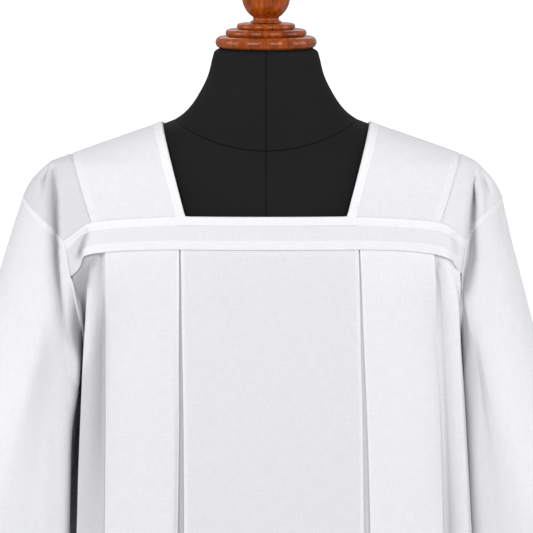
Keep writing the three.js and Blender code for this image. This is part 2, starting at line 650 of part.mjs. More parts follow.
const NECK_TOP = FORM_SECTIONS[FORM_SECTIONS.length - 1].height;
const CAP_RINGS = [
  { radius: 58, middle: NECK_TOP + 7.3, round: 7 },
  { radius: 46.5, middle: NECK_TOP + 17.8, round: 4.6 },
  { radius: 33.5, middle: NECK_TOP + 25, round: 4 },
];
const CAP_TOP = NECK_TOP + 29.5;
const BALL = { radius: 27.5, height: 1624 };
const SOCKET_DEPTH = 26;

function neckCap() {
  const rings = CAP_RINGS.flatMap((ring) => rim(ring.radius, ring.middle, ring.round));
  return turned([[0, NECK_TOP + SEAM], ...rings, [0, CAP_TOP]], 32);
}

function finial() {
  const post = [[0, CAP_TOP + SEAM], [18, CAP_TOP + SEAM], [16, CAP_TOP + 2], [13, CAP_TOP + 4]];
  const ball = spread(-58, 80, 11).map((angle) => [
    BALL.radius * Math.cos(radians(angle)), BALL.height + BALL.radius * Math.sin(radians(angle)),
  ]);
  return turned([...post, ...ball, [0, BALL.height + BALL.radius]], 24);
}

const BASE_TOP = 34;

function base() {
  return turned([
    [0, 0], [BASE_RADIUS - 6, 0], [BASE_RADIUS, 6], [BASE_RADIUS, 14], [BASE_RADIUS - 8, 22],
    [BASE_RADIUS - 40, 24], [60, 26], [34, 30], [30, BASE_TOP], [0, BASE_TOP],
  ], 48);
}

const pole = () => turned([
  [0, BASE_TOP + SEAM], [POLE_RADIUS, BASE_TOP + SEAM],
  [POLE_RADIUS, TORSO_BOTTOM - SOCKET_DEPTH - SEAM], [0, TORSO_BOTTOM - SOCKET_DEPTH - SEAM],
], 24);

const socket = () => turned([
  [0, TORSO_BOTTOM - SOCKET_DEPTH], [26, TORSO_BOTTOM - SOCKET_DEPTH], [30, TORSO_BOTTOM - SOCKET_DEPTH + 4],
  [38, TORSO_BOTTOM - 8], [40, TORSO_BOTTOM - SEAM], [0, TORSO_BOTTOM - SEAM],
], 32);

// ---- The assembly ----------------------------------------------------------------------------

const alb = new THREE.Group();

function add(name, geometry, look) {
  const mesh = new THREE.Mesh(geometry, new THREE.MeshStandardMaterial(look));
  mesh.name = name;
  alb.add(mesh);
}

const WHITE_CLOTH = { color: 0xf3f3f6, roughness: 0.85, metalness: 0 };
const BLACK_JERSEY = { color: 0x202021, roughness: 0.8, metalness: 0 };
const TURNED_WOOD = { color: 0x9a4a1e, roughness: 0.25, metalness: 0 };
const STEEL = { color: 0xb9bbbf, roughness: 0.3, metalness: 1 };

for (const side of ['left', 'right']) {
  add(`yoke_strap_${side}`, yokeWall(bySide(side, strapPoints())), WHITE_CLOTH);
  add(`shoulder_panel_${side}`, yokeWall(bySide(side, shoulderPanelPoints())), WHITE_CLOTH);
  add(`sleeve_${side}`, sleeve(side), WHITE_CLOTH);
}
add('front_yoke_band', yokeWall(bandPoints(-1)), WHITE_CLOTH);
add('back_yoke_band', yokeWall(bandPoints(1)), WHITE_CLOTH);
add('back_yoke', yokeWall(backYokePoints()), WHITE_CLOTH);
const bindingFoot = CLOTH + BINDING_LIFT;
add('neck_binding', yokeWall(bindingLoops(), bindingFoot, bindingFoot + BINDING_THICK, true), WHITE_CLOTH);
add('front_skirt', skirt(-1), WHITE_CLOTH);
add('back_skirt', skirt(1), WHITE_CLOTH);
add('form_torso', torso(), BLACK_JERSEY);
add('form_neck_cap', neckCap(), TURNED_WOOD);
add('form_finial', finial(), TURNED_WOOD);
add('form_socket', socket(), TURNED_WOOD);
add('form_pole', pole(), STEEL);
add('form_base', base(), TURNED_WOOD);

export default alb;
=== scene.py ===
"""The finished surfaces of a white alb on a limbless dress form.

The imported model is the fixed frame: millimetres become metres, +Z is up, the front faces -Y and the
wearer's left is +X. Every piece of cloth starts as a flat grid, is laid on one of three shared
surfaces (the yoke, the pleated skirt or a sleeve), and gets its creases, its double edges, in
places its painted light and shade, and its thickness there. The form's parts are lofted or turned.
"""

from __future__ import annotations

import logging
import math
from bisect import bisect_right
from dataclasses import dataclass, field
from enum import Enum
from functools import partial
from itertools import accumulate
from typing import Callable, Iterable, Iterator, NamedTuple, Sequence

import bmesh
import bpy
from mathutils import Matrix, Vector


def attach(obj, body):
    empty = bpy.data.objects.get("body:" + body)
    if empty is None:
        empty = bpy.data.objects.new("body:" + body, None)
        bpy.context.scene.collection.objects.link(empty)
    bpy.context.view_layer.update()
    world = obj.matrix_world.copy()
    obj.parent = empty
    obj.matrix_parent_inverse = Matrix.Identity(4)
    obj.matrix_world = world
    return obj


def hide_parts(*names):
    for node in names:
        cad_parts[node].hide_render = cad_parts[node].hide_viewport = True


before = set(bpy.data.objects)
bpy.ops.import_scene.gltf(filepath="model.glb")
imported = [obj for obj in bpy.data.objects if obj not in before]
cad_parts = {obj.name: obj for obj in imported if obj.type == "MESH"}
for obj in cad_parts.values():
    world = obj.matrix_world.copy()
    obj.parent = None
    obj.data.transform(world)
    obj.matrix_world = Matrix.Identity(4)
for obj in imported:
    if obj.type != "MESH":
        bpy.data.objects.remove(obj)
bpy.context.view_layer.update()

log = logging.getLogger("alb")

MM = 0.001
CLOTH = 1.2              # thickness of one piece of cloth
SEAM = 0.4               # gap between two sewn pieces
TUCK = 1.7               # how far an edge sinks where its neighbour lies over it
SINGLE = 0.12            # the tone of the yoke's single cloth, where double cloth has 1
ROOT = "root"            # the one body that everything rides on
THREAD_MAP = "cloth"     # the UV map that follows the threads
LAYERS_AND_PAINTED_LIGHT = "doubling_and_painted_light"       # the attribute that says how far cloth is double, with painted light and shade added in; below 0 it is painted shade
THREAD_LIFT = 0.05       # how far stitches stand off the cloth
HEM_INSET = 1.6          # how far from a hem's turned edge its stitches run
MERGE = 1e-6             # points nearer than this, in metres, are one
REACH_ROUND = 5          # how far past the body's middle a crease still shapes the cloth

Triple = tuple[float, float, float]
Spots = list[tuple[float, float]]
Socket = bpy.types.NodeSocket
Material = bpy.types.Material
Piece = bpy.types.Object


# ---- Small tools ------------------------------------------------------------------------------


def mix(a: float, b: float, t: float) -> float:
    """Return the value a share t of the way from a to b."""
    return a + (b - a) * t


def ease(t: float) -> float:
    """Return a smooth step from 0 to 1."""
    t = min(1.0, max(0.0, t))
    return t * t * (3 - 2 * t)


def bell(t: float, middle: float, reach: float) -> float:
    """Return a smooth bump of height 1 around its middle."""
    return math.exp(-(((t - middle) / reach) ** 2))


def spread(start: float, end: float, steps: int) -> list[float]:
    """Return steps + 1 even values from start to end."""
    return [mix(start, end, i / steps) for i in range(steps + 1)]


def with_edges(values: Iterable[float], edges: Iterable[float], gap: float) -> list[float]:
    """Add a close pair of values at each edge, so that a stripe can end sharply there.

    Args:
        values: Even values along one side of a grid.
        edges: Where the stripes end.
        gap: Distance between the two values of a pair.

    Returns:
        The values in order, with none nearer than a gap to a pair.
    """
    pairs = [edge + side * gap / 2 for edge in edges for side in (-1, 1)]
    kept = [v for v in values if all(abs(v - pair) > 0.8 * gap for pair in pairs)]
    return sorted(kept + pairs)


class Curve:
    """A smooth line through the rows of a table, with no overshoot between them."""

    def __init__(self, *points: tuple[float, float]) -> None:
        """Keep the points in order and work out the slope at each.

        Args:
            points: The points as (x, y), in any order.
        """
        ordered = sorted(points)
        self.xs = [x for x, _ in ordered]
        self.ys = [y for _, y in ordered]
        rises = [
            (self.ys[i + 1] - self.ys[i]) / (self.xs[i + 1] - self.xs[i]) for i in range(len(ordered) - 1)
        ]
        inner = [0.0 if a * b <= 0 else 2 * a * b / (a + b) for a, b in zip(rises, rises[1:])]
        self.slopes = [rises[0], *inner, rises[-1]]

    def __call__(self, at: float) -> float:
        """Read the curve, held level beyond its ends.

        Args:
            at: Where to read it.

        Returns:
            Its value there.
        """
        x = min(self.xs[-1], max(self.xs[0], at))
        i = min(len(self.xs) - 2, bisect_right(self.xs, x) - 1)
        span = self.xs[i + 1] - self.xs[i]
        t = (x - self.xs[i]) / span
        t2, t3 = t * t, t * t * t
        return (
            (2 * t3 - 3 * t2 + 1) * self.ys[i]
            + (t3 - 2 * t2 + t) * span * self.slopes[i]
            + (3 * t2 - 2 * t3) * self.ys[i + 1]
            + (t3 - t2) * span * self.slopes[i + 1]
        )


class Section(NamedTuple):
    """A level section: a superellipse with its own depth before and behind the centre."""

    height: float
    half_width: float
    front: float
    back: float
    square: float
    shift: float = 0.0
    layer: float = 0.0

    def depth(self, facing: int, across: float) -> float:
        """Return the y of the section at a distance across it.

        Args:
            facing: -1 for its front and 1 for its back.
            across: The distance from its centre.

        Returns:
            Its y, in millimetres.
        """
        reach = self.front if facing < 0 else self.back
        share = min(1.0, abs(across) / self.half_width)
        return facing * reach * (1 - share**self.square) ** (1 / self.square)


class Sections:
    """A table of level sections that can be read at any height."""

    def __init__(self, *rows: Section) -> None:
        """Make one curve for each column.

        Args:
            rows: The rows of the table.
        """
        columns = range(1, len(Section._fields))
        self.curves = [Curve(*((row.height, row[i]) for row in rows)) for i in columns]
        self.read: dict[float, Section] = {}

    def at(self, height: float) -> Section:
        """Return the section at one height.

        Args:
            height: The height, in millimetres.

        Returns:
            The section, which is worked out once and kept.
        """
        key = round(height, 3)
        if key not in self.read:
            self.read[key] = Section(height, *(curve(height) for curve in self.curves))
        return self.read[key]


class Side(Enum):
    """One side of the wearer."""

    LEFT = 1
    RIGHT = -1

    @property
    def word(self) -> str:
        """Return the side's word in the pieces' names."""
        return self.name.lower()

    @property
    def other(self) -> Side:
        """Return the other side."""
        return Side(-self.value)

    def of(self, p: Vector) -> Vector:
        """Return a point of the wearer's left on this side."""
        return Vector((p.x * self.value, p.y, p.z))


@dataclass(frozen=True)
class Crease:
    """A soft ridge or trough that runs along a line, seen square on from the front or the back.

    path: its points as (x, z) in millimetres.
    depth: how far it stands out, or sinks where negative.
    width: its half width at the start and at the end.
    facing: -1 on the front, 1 on the back.
    fade: the shares of its length over which it grows and dies away.
    skew: below 0 the side towards -x is the steeper one, above 0 the side towards +x.
    """

    path: tuple[tuple[float, float], ...]
    depth: float
    width: tuple[float, float]
    facing: int = -1
    fade: tuple[float, float] = (0.25, 0.3)
    skew: float = 0.0

    def lift(self, p: Vector) -> float:
        """Return how far this crease moves a point of the cloth.

        Args:
            p: The point, in millimetres.

        Returns:
            Its distance out of the surface.
        """
        if p.y * self.facing < -REACH_ROUND:
            return 0.0
        runs = list(zip(self.path, self.path[1:]))
        lengths = [math.dist(a, b) for a, b in runs]
        whole = sum(lengths)
        best = (1e9, 0.0, 0.0)
        walked = 0.0
        for (a, b), length in zip(runs, lengths):
            along = ((p.x - a[0]) * (b[0] - a[0]) + (p.z - a[1]) * (b[1] - a[1])) / length**2
            held = min(1.0, max(0.0, along))
            x, z = mix(a[0], b[0], held), mix(a[1], b[1], held)
            away = math.hypot(p.x - x, p.z - z)
            if away < best[0]:
                best = (away, (walked + held * length) / whole, p.x - x)
            walked += length
        away, share, sideways = best
        width = mix(self.width[0], self.width[1], share)
        width *= 1 - self.skew * math.copysign(1, sideways)
        if away > 3 * width:
            return 0.0
        grown = ease(share / self.fade[0]) if self.fade[0] else 1.0
        gone = ease((1 - share) / self.fade[1]) if self.fade[1] else 1.0
        return self.depth * math.exp(-((away / width) ** 2)) * grown * gone


def lifted(creases: Iterable[Crease], p: Vector) -> float:
    """Return how far a set of creases moves a point out of the surface."""
    return sum(crease.lift(p) for crease in creases)


def mirrored(crease: Crease, facing: int, drop: float, grow: float) -> Crease:
    """Return a crease like another one, for the other side or the back, and not quite the same.

    Args:
        crease: The crease to follow.
        facing: Which way the new one faces.
        drop: How far lower it lies.
        grow: How much longer and deeper it is.

    Returns:
        The new crease.
    """
    top = crease.path[0][1]
    path = tuple((-x, top - drop + (z - top) * grow) for x, z in crease.path)
    return Crease(path, crease.depth * grow, crease.width, facing, crease.fade, -crease.skew)


# ---- Finishes ---------------------------------------------------------------------------------


class Graph:
    """A small helper that adds and joins the nodes of one tree."""

    def __init__(self, tree: bpy.types.NodeTree) -> None:
        """Keep the tree."""
        self.tree = tree

    def node(self, kind: str, **settings: object) -> bpy.types.Node:
        """Add a node and set its properties.

        Args:
            kind: Blender's name for it.
            settings: Its properties, by name.

        Returns:
            The node.
        """
        made = self.tree.nodes.new(kind)
        for key, value in settings.items():
            setattr(made, key, value)
        return made

    def join(self, source: Socket, target: Socket) -> None:
        """Join two sockets."""
        self.tree.links.new(source, target)

    def math(self, operation: str, *values: object, clamp: bool = False) -> Socket:
        """Add a math node.

        Args:
            operation: Blender's name for it.
            values: A number or a socket for each input.
            clamp: Whether the result is held from 0 to 1.

        Returns:
            The result's socket.
        """
        made = self.node("ShaderNodeMath", operation=operation, use_clamp=clamp)
        for slot, value in zip(made.inputs, values):
            if isinstance(value, (int, float)):
                slot.default_value = value
            else:
                self.join(value, slot)
        return made.outputs[0]

    def plus(self, a: object, b: object) -> Socket:
        """Add two numbers or sockets."""
        return self.math("ADD", a, b)

    def minus(self, a: object, b: object) -> Socket:
        """Take the second number or socket from the first."""
        return self.math("SUBTRACT", a, b)

    def times(self, a: object, b: object) -> Socket:
        """Multiply two numbers or sockets."""
        return self.math("MULTIPLY", a, b)

    def split(self, vector: Socket) -> tuple[Socket, Socket, Socket]:
        """Take a vector apart.

        Args:
            vector: The vector.

        Returns:
            Its x, y and z.
        """
        made = self.node("ShaderNodeSeparateXYZ")
        self.join(vector, made.inputs[0])
        return tuple(made.outputs)

    def scaled(self, vector: Socket, scale: Triple) -> Socket:
        """Multiply a vector by one scale for each axis.

        Args:
            vector: The vector.
            scale: The scales.

        Returns:
            The scaled vector.
        """
        made = self.node("ShaderNodeVectorMath", operation="MULTIPLY")
        self.join(vector, made.inputs[0])
        made.inputs[1].default_value = scale
        return made.outputs[0]

    def noise(self, vector: Socket, scale: float, detail: float = 2.0, rough: float = 0.5) -> Socket:
        """Add a noise texture.

        Args:
            vector: Where it is read.
            scale: How many bumps it has in a metre.
            detail: How many finer layers it has.
            rough: How strong those are.

        Returns:
            The socket of its value, which lies around 0.5.
        """
        made = self.node("ShaderNodeTexNoise")
        made.inputs["Scale"].default_value = scale
        made.inputs["Detail"].default_value = detail
        made.inputs["Roughness"].default_value = rough
        self.join(vector, made.inputs["Vector"])
        return made.outputs["Fac"]

    def blend(self, share: Socket, a: Socket | Triple, b: Triple) -> Socket:
        """Mix two colours by a share that changes over the surface.

        Args:
            share: The share, from 0 for the first colour to 1 for the second.
            a: The first colour, plain or from another node.
            b: The second colour.

        Returns:
            The mixed colour.
        """
        made = self.node("ShaderNodeMix", data_type="RGBA")
        first, second = (socket for socket in made.inputs if socket.enabled and socket.type == "RGBA")
        if isinstance(a, Socket):
            self.join(a, first)
        else:
            first.default_value = (*a, 1)
        second.default_value = (*b, 1)
        self.join(share, made.inputs["Factor"])
        return next(socket for socket in made.outputs if socket.enabled)


class Surface(Graph):
    """A material under way, with its Principled shader."""

    def __init__(self, name: str, roughness: float, **constants: float) -> None:
        """Start the material.

        Args:
            name: Its name.
            roughness: Its plain roughness.
            constants: Other plain values of the shader, by their names with _ for a space.
        """
        self.material = bpy.data.materials.new(name)
        self.material.use_nodes = True
        super().__init__(self.material.node_tree)
        self.shader = self.tree.nodes["Principled BSDF"]
        for key, value in {"Roughness": roughness, **constants}.items():
            self.shader.inputs[key.replace("_", " ")].default_value = value

    def place(self) -> Socket:
        """Return the Object coordinates."""
        return self.node("ShaderNodeTexCoord").outputs["Object"]

    def group(self, tree: bpy.types.NodeTree, vector: Socket, **values: float) -> bpy.types.Node:
        """Place a shared effect.

        Args:
            tree: The effect's group.
            vector: Where its patterns are read.
            values: Its other inputs, by name.

        Returns:
            The group's node.
        """
        made = self.node("ShaderNodeGroup", node_tree=tree)
        self.join(vector, made.inputs["Vector"])
        for key, value in values.items():
            made.inputs[key].default_value = value
        return made

    def paint(self, color: Socket | Triple, shade: Socket) -> None:
        """Give the shader its colour.

        Args:
            color: The colour, plain or from another node.
            shade: What the colour is multiplied by, around 1.
        """
        if not isinstance(color, Socket):
            plain = self.node("ShaderNodeRGB")
            plain.outputs[0].default_value = (*color, 1)
            color = plain.outputs[0]
        made = self.node("ShaderNodeVectorMath", operation="SCALE")
        self.join(color, made.inputs[0])
        self.join(shade, made.inputs["Scale"])
        self.join(made.outputs[0], self.shader.inputs["Base Color"])

    def emboss(self, height: Socket, distance: float, strength: float) -> None:
        """Give the shader a fine relief.

        Args:
            height: How far each place stands out.
            distance: The height of one unit, in metres.
            strength: How much of it shows.
        """
        made = self.node("ShaderNodeBump")
        made.inputs["Distance"].default_value = distance
        made.inputs["Strength"].default_value = strength
        self.join(height, made.inputs["Height"])
        self.join(made.outputs["Normal"], self.shader.inputs["Normal"])


class Effects:
    """The effects that several finishes share, each a node group that is built once."""

    def __init__(self) -> None:
        """Build the groups."""
        self.weave = self._weave()
        self.mottle = self._mottle()

    @staticmethod
    def _started(name: str, values: Iterable[str]) -> tuple[Graph, bpy.types.Node, bpy.types.Node]:
        """Start a group that turns a vector and some values into a shade and a height.

        Args:
            name: Its name.
            values: The names of the values.

        Returns:
            Its graph, its input node and its output node.
        """
        tree = bpy.data.node_groups.new(name, "ShaderNodeTree")
        tree.interface.new_socket("Vector", in_out="INPUT", socket_type="NodeSocketVector")
        for label in values:
            tree.interface.new_socket(label, in_out="INPUT", socket_type="NodeSocketFloat")
        for label in ("Shade", "Height"):
            tree.interface.new_socket(label, in_out="OUTPUT", socket_type="NodeSocketFloat")
        g = Graph(tree)
        return g, g.node("NodeGroupInput"), g.node("NodeGroupOutput")

    def _weave(self) -> bpy.types.NodeTree:
        """Build a plain weave with slubs: threads both ways, and thicker stretches along them.

        Returns:
            The group.
        """
        warp_scale, weft_scale, cloud_scale = 1450, 1350, 45
        slub_tone, cloud_tone, thread_tone, thread_height = 0.26, 0.02, 0.02, 0.3
        g, start, end = self._started("plain_weave", ("Pitch", "Slubs"))
        vector = start.outputs["Vector"]
        x, y, _ = g.split(vector)
        around = g.math("DIVIDE", 2 * math.pi, start.outputs["Pitch"])
        warp = g.math("SINE", g.times(x, around))
        weft = g.math("SINE", g.times(y, around))
        threads = g.times(warp, weft)
        along_warp = g.noise(g.scaled(vector, (1.0, 0.05, 1.0)), warp_scale, 1.5)
        along_weft = g.noise(g.scaled(vector, (0.05, 1.0, 1.0)), weft_scale, 1.5)
        slubs = g.times(g.minus(g.plus(along_warp, along_weft), 1.0), start.outputs["Slubs"])
        broad = g.minus(g.noise(vector, cloud_scale, 3.0), 0.5)
        shade = g.plus(g.plus(1.0, g.times(slubs, slub_tone)), g.times(broad, cloud_tone))
        g.join(g.plus(shade, g.times(threads, thread_tone)), end.inputs["Shade"])
        g.join(g.plus(slubs, g.times(threads, thread_height)), end.inputs["Height"])
        return g.tree

    def _mottle(self) -> bpy.types.NodeTree:
        """Build an uneven shade: broad clouds with a finer speckle.

        Returns:
            The group.
        """
        cloud_scale, speckle_scale = 9, 1400
        g, start, end = self._started("mottle", ("Clouds", "Speckle"))
        vector = start.outputs["Vector"]
        clouds = g.minus(g.noise(vector, cloud_scale, 2.0), 0.5)
        speckle = g.minus(g.noise(vector, speckle_scale, 1.0), 0.5)
        speckle = g.times(speckle, start.outputs["Speckle"])
        shade = g.plus(g.times(clouds, start.outputs["Clouds"]), speckle)
        g.join(g.plus(shade, 1.0), end.inputs["Shade"])
        g.join(speckle, end.inputs["Height"])
        return g.tree


@dataclass(frozen=True)
class ClothFinish:
    """White cloth of a fine plain weave, brighter where it lies double and darker where shade is painted on
    it.
    """

    name: str
    single: Triple = (0.72, 0.717, 0.742)
    double: Triple = (0.81, 0.81, 0.823)
    # the colour that painted shade mixes the single cloth towards
    painted_hollow_shade: Triple = (0.36, 0.355, 0.375)
    roughness: float = 0.86
    sheen: float = 0.25
    pitch: float = 0.00055
    slubs: float = 0.6
    relief: float = 0.00012

    def made(self, effects: Effects) -> Material:
        """Build the material.

        Args:
            effects: The shared effects.

        Returns:
            The material.
        """
        g = Surface(self.name, self.roughness, Specular_IOR_Level=self.sheen)
        uv = g.node("ShaderNodeUVMap", uv_map=THREAD_MAP).outputs["UV"]
        weave = g.group(effects.weave, uv, Pitch=self.pitch, Slubs=self.slubs)
        layers = g.node("ShaderNodeAttribute", attribute_name=LAYERS_AND_PAINTED_LIGHT).outputs["Fac"]
        # below 0 the attribute paints shade, mixing the single cloth towards the shade colour; above 0 it
        # mixes towards the double cloth's colour
        single_with_painted_shade = g.blend(g.math("MULTIPLY", layers, -1.0, clamp=True), self.single, self.painted_hollow_shade)
        g.paint(g.blend(g.math("MAXIMUM", layers, 0.0), single_with_painted_shade, self.double), weave.outputs["Shade"])
        g.emboss(weave.outputs["Height"], self.relief, 0.8)
        return g.material


@dataclass(frozen=True)
class ThreadFinish:
    """White sewing thread."""

    name: str
    color: Triple = (0.88, 0.88, 0.89)
    roughness: float = 0.6

    def made(self, effects: Effects) -> Material:
        """Build the material.

        Args:
            effects: The shared effects.

        Returns:
            The material.
        """
        g = Surface(self.name, self.roughness)
        mottle = g.group(effects.mottle, g.place(), Clouds=0.1, Speckle=0.35)
        g.paint(self.color, mottle.outputs["Shade"])
        return g.material


@dataclass(frozen=True)
class JerseyFinish:
    """Closely fitted black knit, with a sewn seam down the front and round the foot of the neck."""

    name: str
    dark: Triple = (0.0085, 0.0085, 0.009)
    light: Triple = (0.0145, 0.0145, 0.015)
    roughness: float = 0.8
    sheen: float = 0.08
    relief: float = 0.0008
    neck_seam: float = 1.4536
    neck_dip: float = 2.8
    seam_width: float = 0.0011
    seam_shade: float = 0.75

    def made(self, effects: Effects) -> Material:
        """Build the material.

        Args:
            effects: The shared effects.

        Returns:
            The material.
        """
        g = Surface(self.name, self.roughness, Specular_IOR_Level=self.sheen)
        place = g.place()
        mottle = g.group(effects.mottle, place, Clouds=0.35, Speckle=0.7)
        knit = g.noise(g.scaled(place, (1.0, 1.0, 0.22)), 1500, 1.0)
        seams = self._seams(g, place)
        shade = g.times(mottle.outputs["Shade"], g.minus(1.0, g.times(seams, self.seam_shade)))
        g.paint(g.blend(knit, self.dark, self.light), shade)
        g.emboss(g.plus(g.times(knit, 0.2), g.times(seams, -1.0)), self.relief, 0.9)
        return g.material

    def _seams(self, g: Graph, place: Socket) -> Socket:
        """Mark the seams: one down the front and the back, and one that dips round the neck's foot.

        Args:
            g: The material's graph.
            place: The Object coordinates.

        Returns:
            A mask that is 1 in a seam.
        """
        x, _, z = g.split(place)
        dip = g.plus(self.neck_seam, g.times(g.times(x, x), self.neck_dip))
        marks = []
        for gap in (x, g.minus(z, dip)):
            wide = g.math("DIVIDE", g.math("ABSOLUTE", gap), self.seam_width)
            marks.append(g.math("SUBTRACT", 1.0, wide, clamp=True))
        return g.math("MAXIMUM", *marks)


@dataclass(frozen=True)
class WoodFinish:
    """Turned hardwood under a glossy orange-brown varnish, with its grain along the piece's height."""

    name: str
    dark: Triple = (0.14, 0.021, 0.001)
    light: Triple = (0.46, 0.085, 0.004)
    roughness: float = 0.5
    varnish: float = 0.8
    gloss: float = 0.06
    relief: float = 0.00012

    def made(self, effects: Effects) -> Material:
        """Build the material.

        Args:
            effects: The shared effects.

        Returns:
            The material.
        """
        coat = {"Coat_Weight": self.varnish, "Coat_Roughness": self.gloss, "Coat_IOR": 1.45}
        g = Surface(self.name, self.roughness, Specular_IOR_Level=0.05, **coat)
        place = g.place()
        streaks = g.noise(g.scaled(place, (1.0, 1.0, 0.12)), 260, 3.0, 0.6)
        rings = g.noise(g.scaled(place, (1.0, 1.0, 0.3)), 42, 2.0)
        grain = g.plus(g.times(streaks, 0.6), g.times(rings, 0.4))
        grain = g.math("MULTIPLY", g.minus(grain, 0.36), 3.4, clamp=True)
        mottle = g.group(effects.mottle, place, Clouds=0.4, Speckle=0.1)
        g.paint(g.blend(grain, self.dark, self.light), mottle.outputs["Shade"])
        g.emboss(streaks, self.relief, 0.4)
        return g.material


@dataclass(frozen=True)
class SteelFinish:
    """Drawn steel tube with a satin finish."""

    name: str
    color: Triple = (0.56, 0.57, 0.59)
    roughness: float = 0.3
    roughness_low: float = 0.2
    roughness_range: float = 0.25

    def made(self, effects: Effects) -> Material:
        """Build the material.

        Args:
            effects: The shared effects.

        Returns:
            The material.
        """
        g = Surface(self.name, self.roughness, Metallic=1.0)
        place = g.place()
        drawn = g.noise(g.scaled(place, (1.0, 1.0, 0.01)), 2200, 2.0)
        mottle = g.group(effects.mottle, place, Clouds=0.2, Speckle=0.05)
        g.paint(self.color, mottle.outputs["Shade"])
        uneven = g.plus(self.roughness_low, g.times(drawn, self.roughness_range))
        g.join(uneven, g.shader.inputs["Roughness"])
        return g.material


@dataclass(frozen=True)
class FloorFinish:
    """Pale seamless floor that is lit a little from within, so that it stays even."""

    name: str
    color: Triple = (0.6, 0.6, 0.6)
    roughness: float = 0.9
    glow: float = 0.85

    def made(self, effects: Effects) -> Material:
        """Build the material.

        Args:
            effects: The shared effects.

        Returns:
            The material.
        """
        g = Surface(self.name, self.roughness)
        seen = g.node("ShaderNodeLightPath").outputs["Is Camera Ray"]
        g.join(g.times(seen, self.glow), g.shader.inputs["Emission Strength"])
        mottle = g.group(effects.mottle, g.place(), Clouds=0.01, Speckle=0.0)
        g.paint(self.color, mottle.outputs["Shade"])
        g.shader.inputs["Emission Color"].default_value = (1, 1, 1, 1)
        return g.material


class Slot(Enum):
    """The record's material slots."""

    CLOTH = "alb_cloth"
    COVER = "form_cover"
    WOOD = "form_wood"
    METAL = "form_metal"


class Wardrobe:
    """Every material of the scene, built once."""

    def __init__(self) -> None:
        """Build the materials."""
        effects = Effects()
        self.cloth = ClothFinish("alb_cloth").made(effects)
        self.thread = ThreadFinish("sewing_thread").made(effects)
        self.jersey = JerseyFinish("black_jersey").made(effects)
        self.wood = WoodFinish("varnished_wood").made(effects)
        self.steel = SteelFinish("satin_steel").made(effects)
        self.floor = FloorFinish("pale_floor").made(effects)


# ---- Making meshes ----------------------------------------------------------------------------


def linked(name: str, data: bpy.types.ID) -> Piece:
    """Put a mesh, a light or a camera into the scene.

    Args:
        name: The object's name.
        data: What it shows.

    Returns:
        The object.
    """
    made = bpy.data.objects.new(name, data)
    bpy.context.scene.collection.objects.link(made)
    return made


def finished(name: str, bm: bmesh.types.BMesh, material: Material, slot: Slot) -> Piece:
    """Turn a bmesh into a smooth object that rides on the part.

    Args:
        name: The object's name.
        bm: Its mesh, in metres, which is freed.
        material: Its finish.
        slot: The record's slot for that finish; not used.

    Returns:
        The object.
    """
    mesh = bpy.data.meshes.new(name)
    for face in bm.faces:
        face.smooth = True
    bm.to_mesh(mesh)
    bm.free()
    made = linked(name, mesh)
    mesh.materials.append(material)
    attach(made, ROOT)
    return made


def stitches(name: str, lines: Sequence[Sequence[Vector]], material: Material) -> Piece:
    """Sew rows of machine stitches, each a small round bar that lies along its line.

    Args:
        name: The object's name.
        lines: The rows, each a list of points in millimetres.
        material: The thread's finish.

    Returns:
        The stitches as one object.
    """
    pitch, length, thick = 2.9, 2.1, 0.26
    size = Matrix.Diagonal(Vector((length / 2, thick, thick)) * MM).to_4x4()
    bm = bmesh.new()
    for line in lines:
        sewn = bmesh.new()
        lengths = [(b - a).length for a, b in zip(line, line[1:])]
        walked, i = 0.0, 0
        for step in range(int(sum(lengths) / pitch)):
            at = (step + 0.5) * pitch
            while i < len(lengths) - 1 and walked + lengths[i] < at:
                walked += lengths[i]
                i += 1
            run = line[i + 1] - line[i]
            centre = line[i] + run * ((at - walked) / lengths[i])
            turn = run.to_track_quat("X", "Z").to_matrix()
            stood = Matrix.Translation(centre * MM) @ turn.to_4x4() @ size
            bmesh.ops.create_icosphere(sewn, subdivisions=1, radius=1, matrix=stood)
        row = bpy.data.meshes.new(name)
        sewn.to_mesh(row)
        sewn.free()
        bm.from_mesh(row)
        bpy.data.meshes.remove(row)
    return finished(name, bm, material, Slot.CLOTH)


class Cut(NamedTuple):
    """The flat cut of a piece: its width and length over all and its area, in metres, and how it is held."""

    width: float
    length: float
    area: float
    held: str
    rests_on: tuple[str, ...]


STRAPS = ("yoke_strap_left", "yoke_strap_right")

CUTS = {
    "yoke_strap": Cut(0.109, 0.337, 0.0316, "draped", ("front_yoke_band", "back_yoke_band", "neck_binding")),
    "shoulder_panel": Cut(0.113, 0.268, 0.0195, "hung", STRAPS),
    "front_yoke_band": Cut(0.497, 0.043, 0.0177, "hung", STRAPS),
    "back_yoke_band": Cut(0.497, 0.043, 0.0178, "hung", (*STRAPS, "back_yoke")),
    "back_yoke": Cut(0.229, 0.071, 0.0140, "hung", STRAPS),
    "neck_binding": Cut(0.976, 0.0155, 0.0111, "hung", STRAPS),
    "sleeve": Cut(0.593, 0.563, 0.2430, "hung", ("shoulder_panel_left", "shoulder_panel_right")),
    "front_skirt": Cut(1.112, 1.253, 1.2515, "hung", ("front_yoke_band",)),
    "back_skirt": Cut(1.098, 1.252, 1.2387, "hung", ("back_yoke_band",)),
}


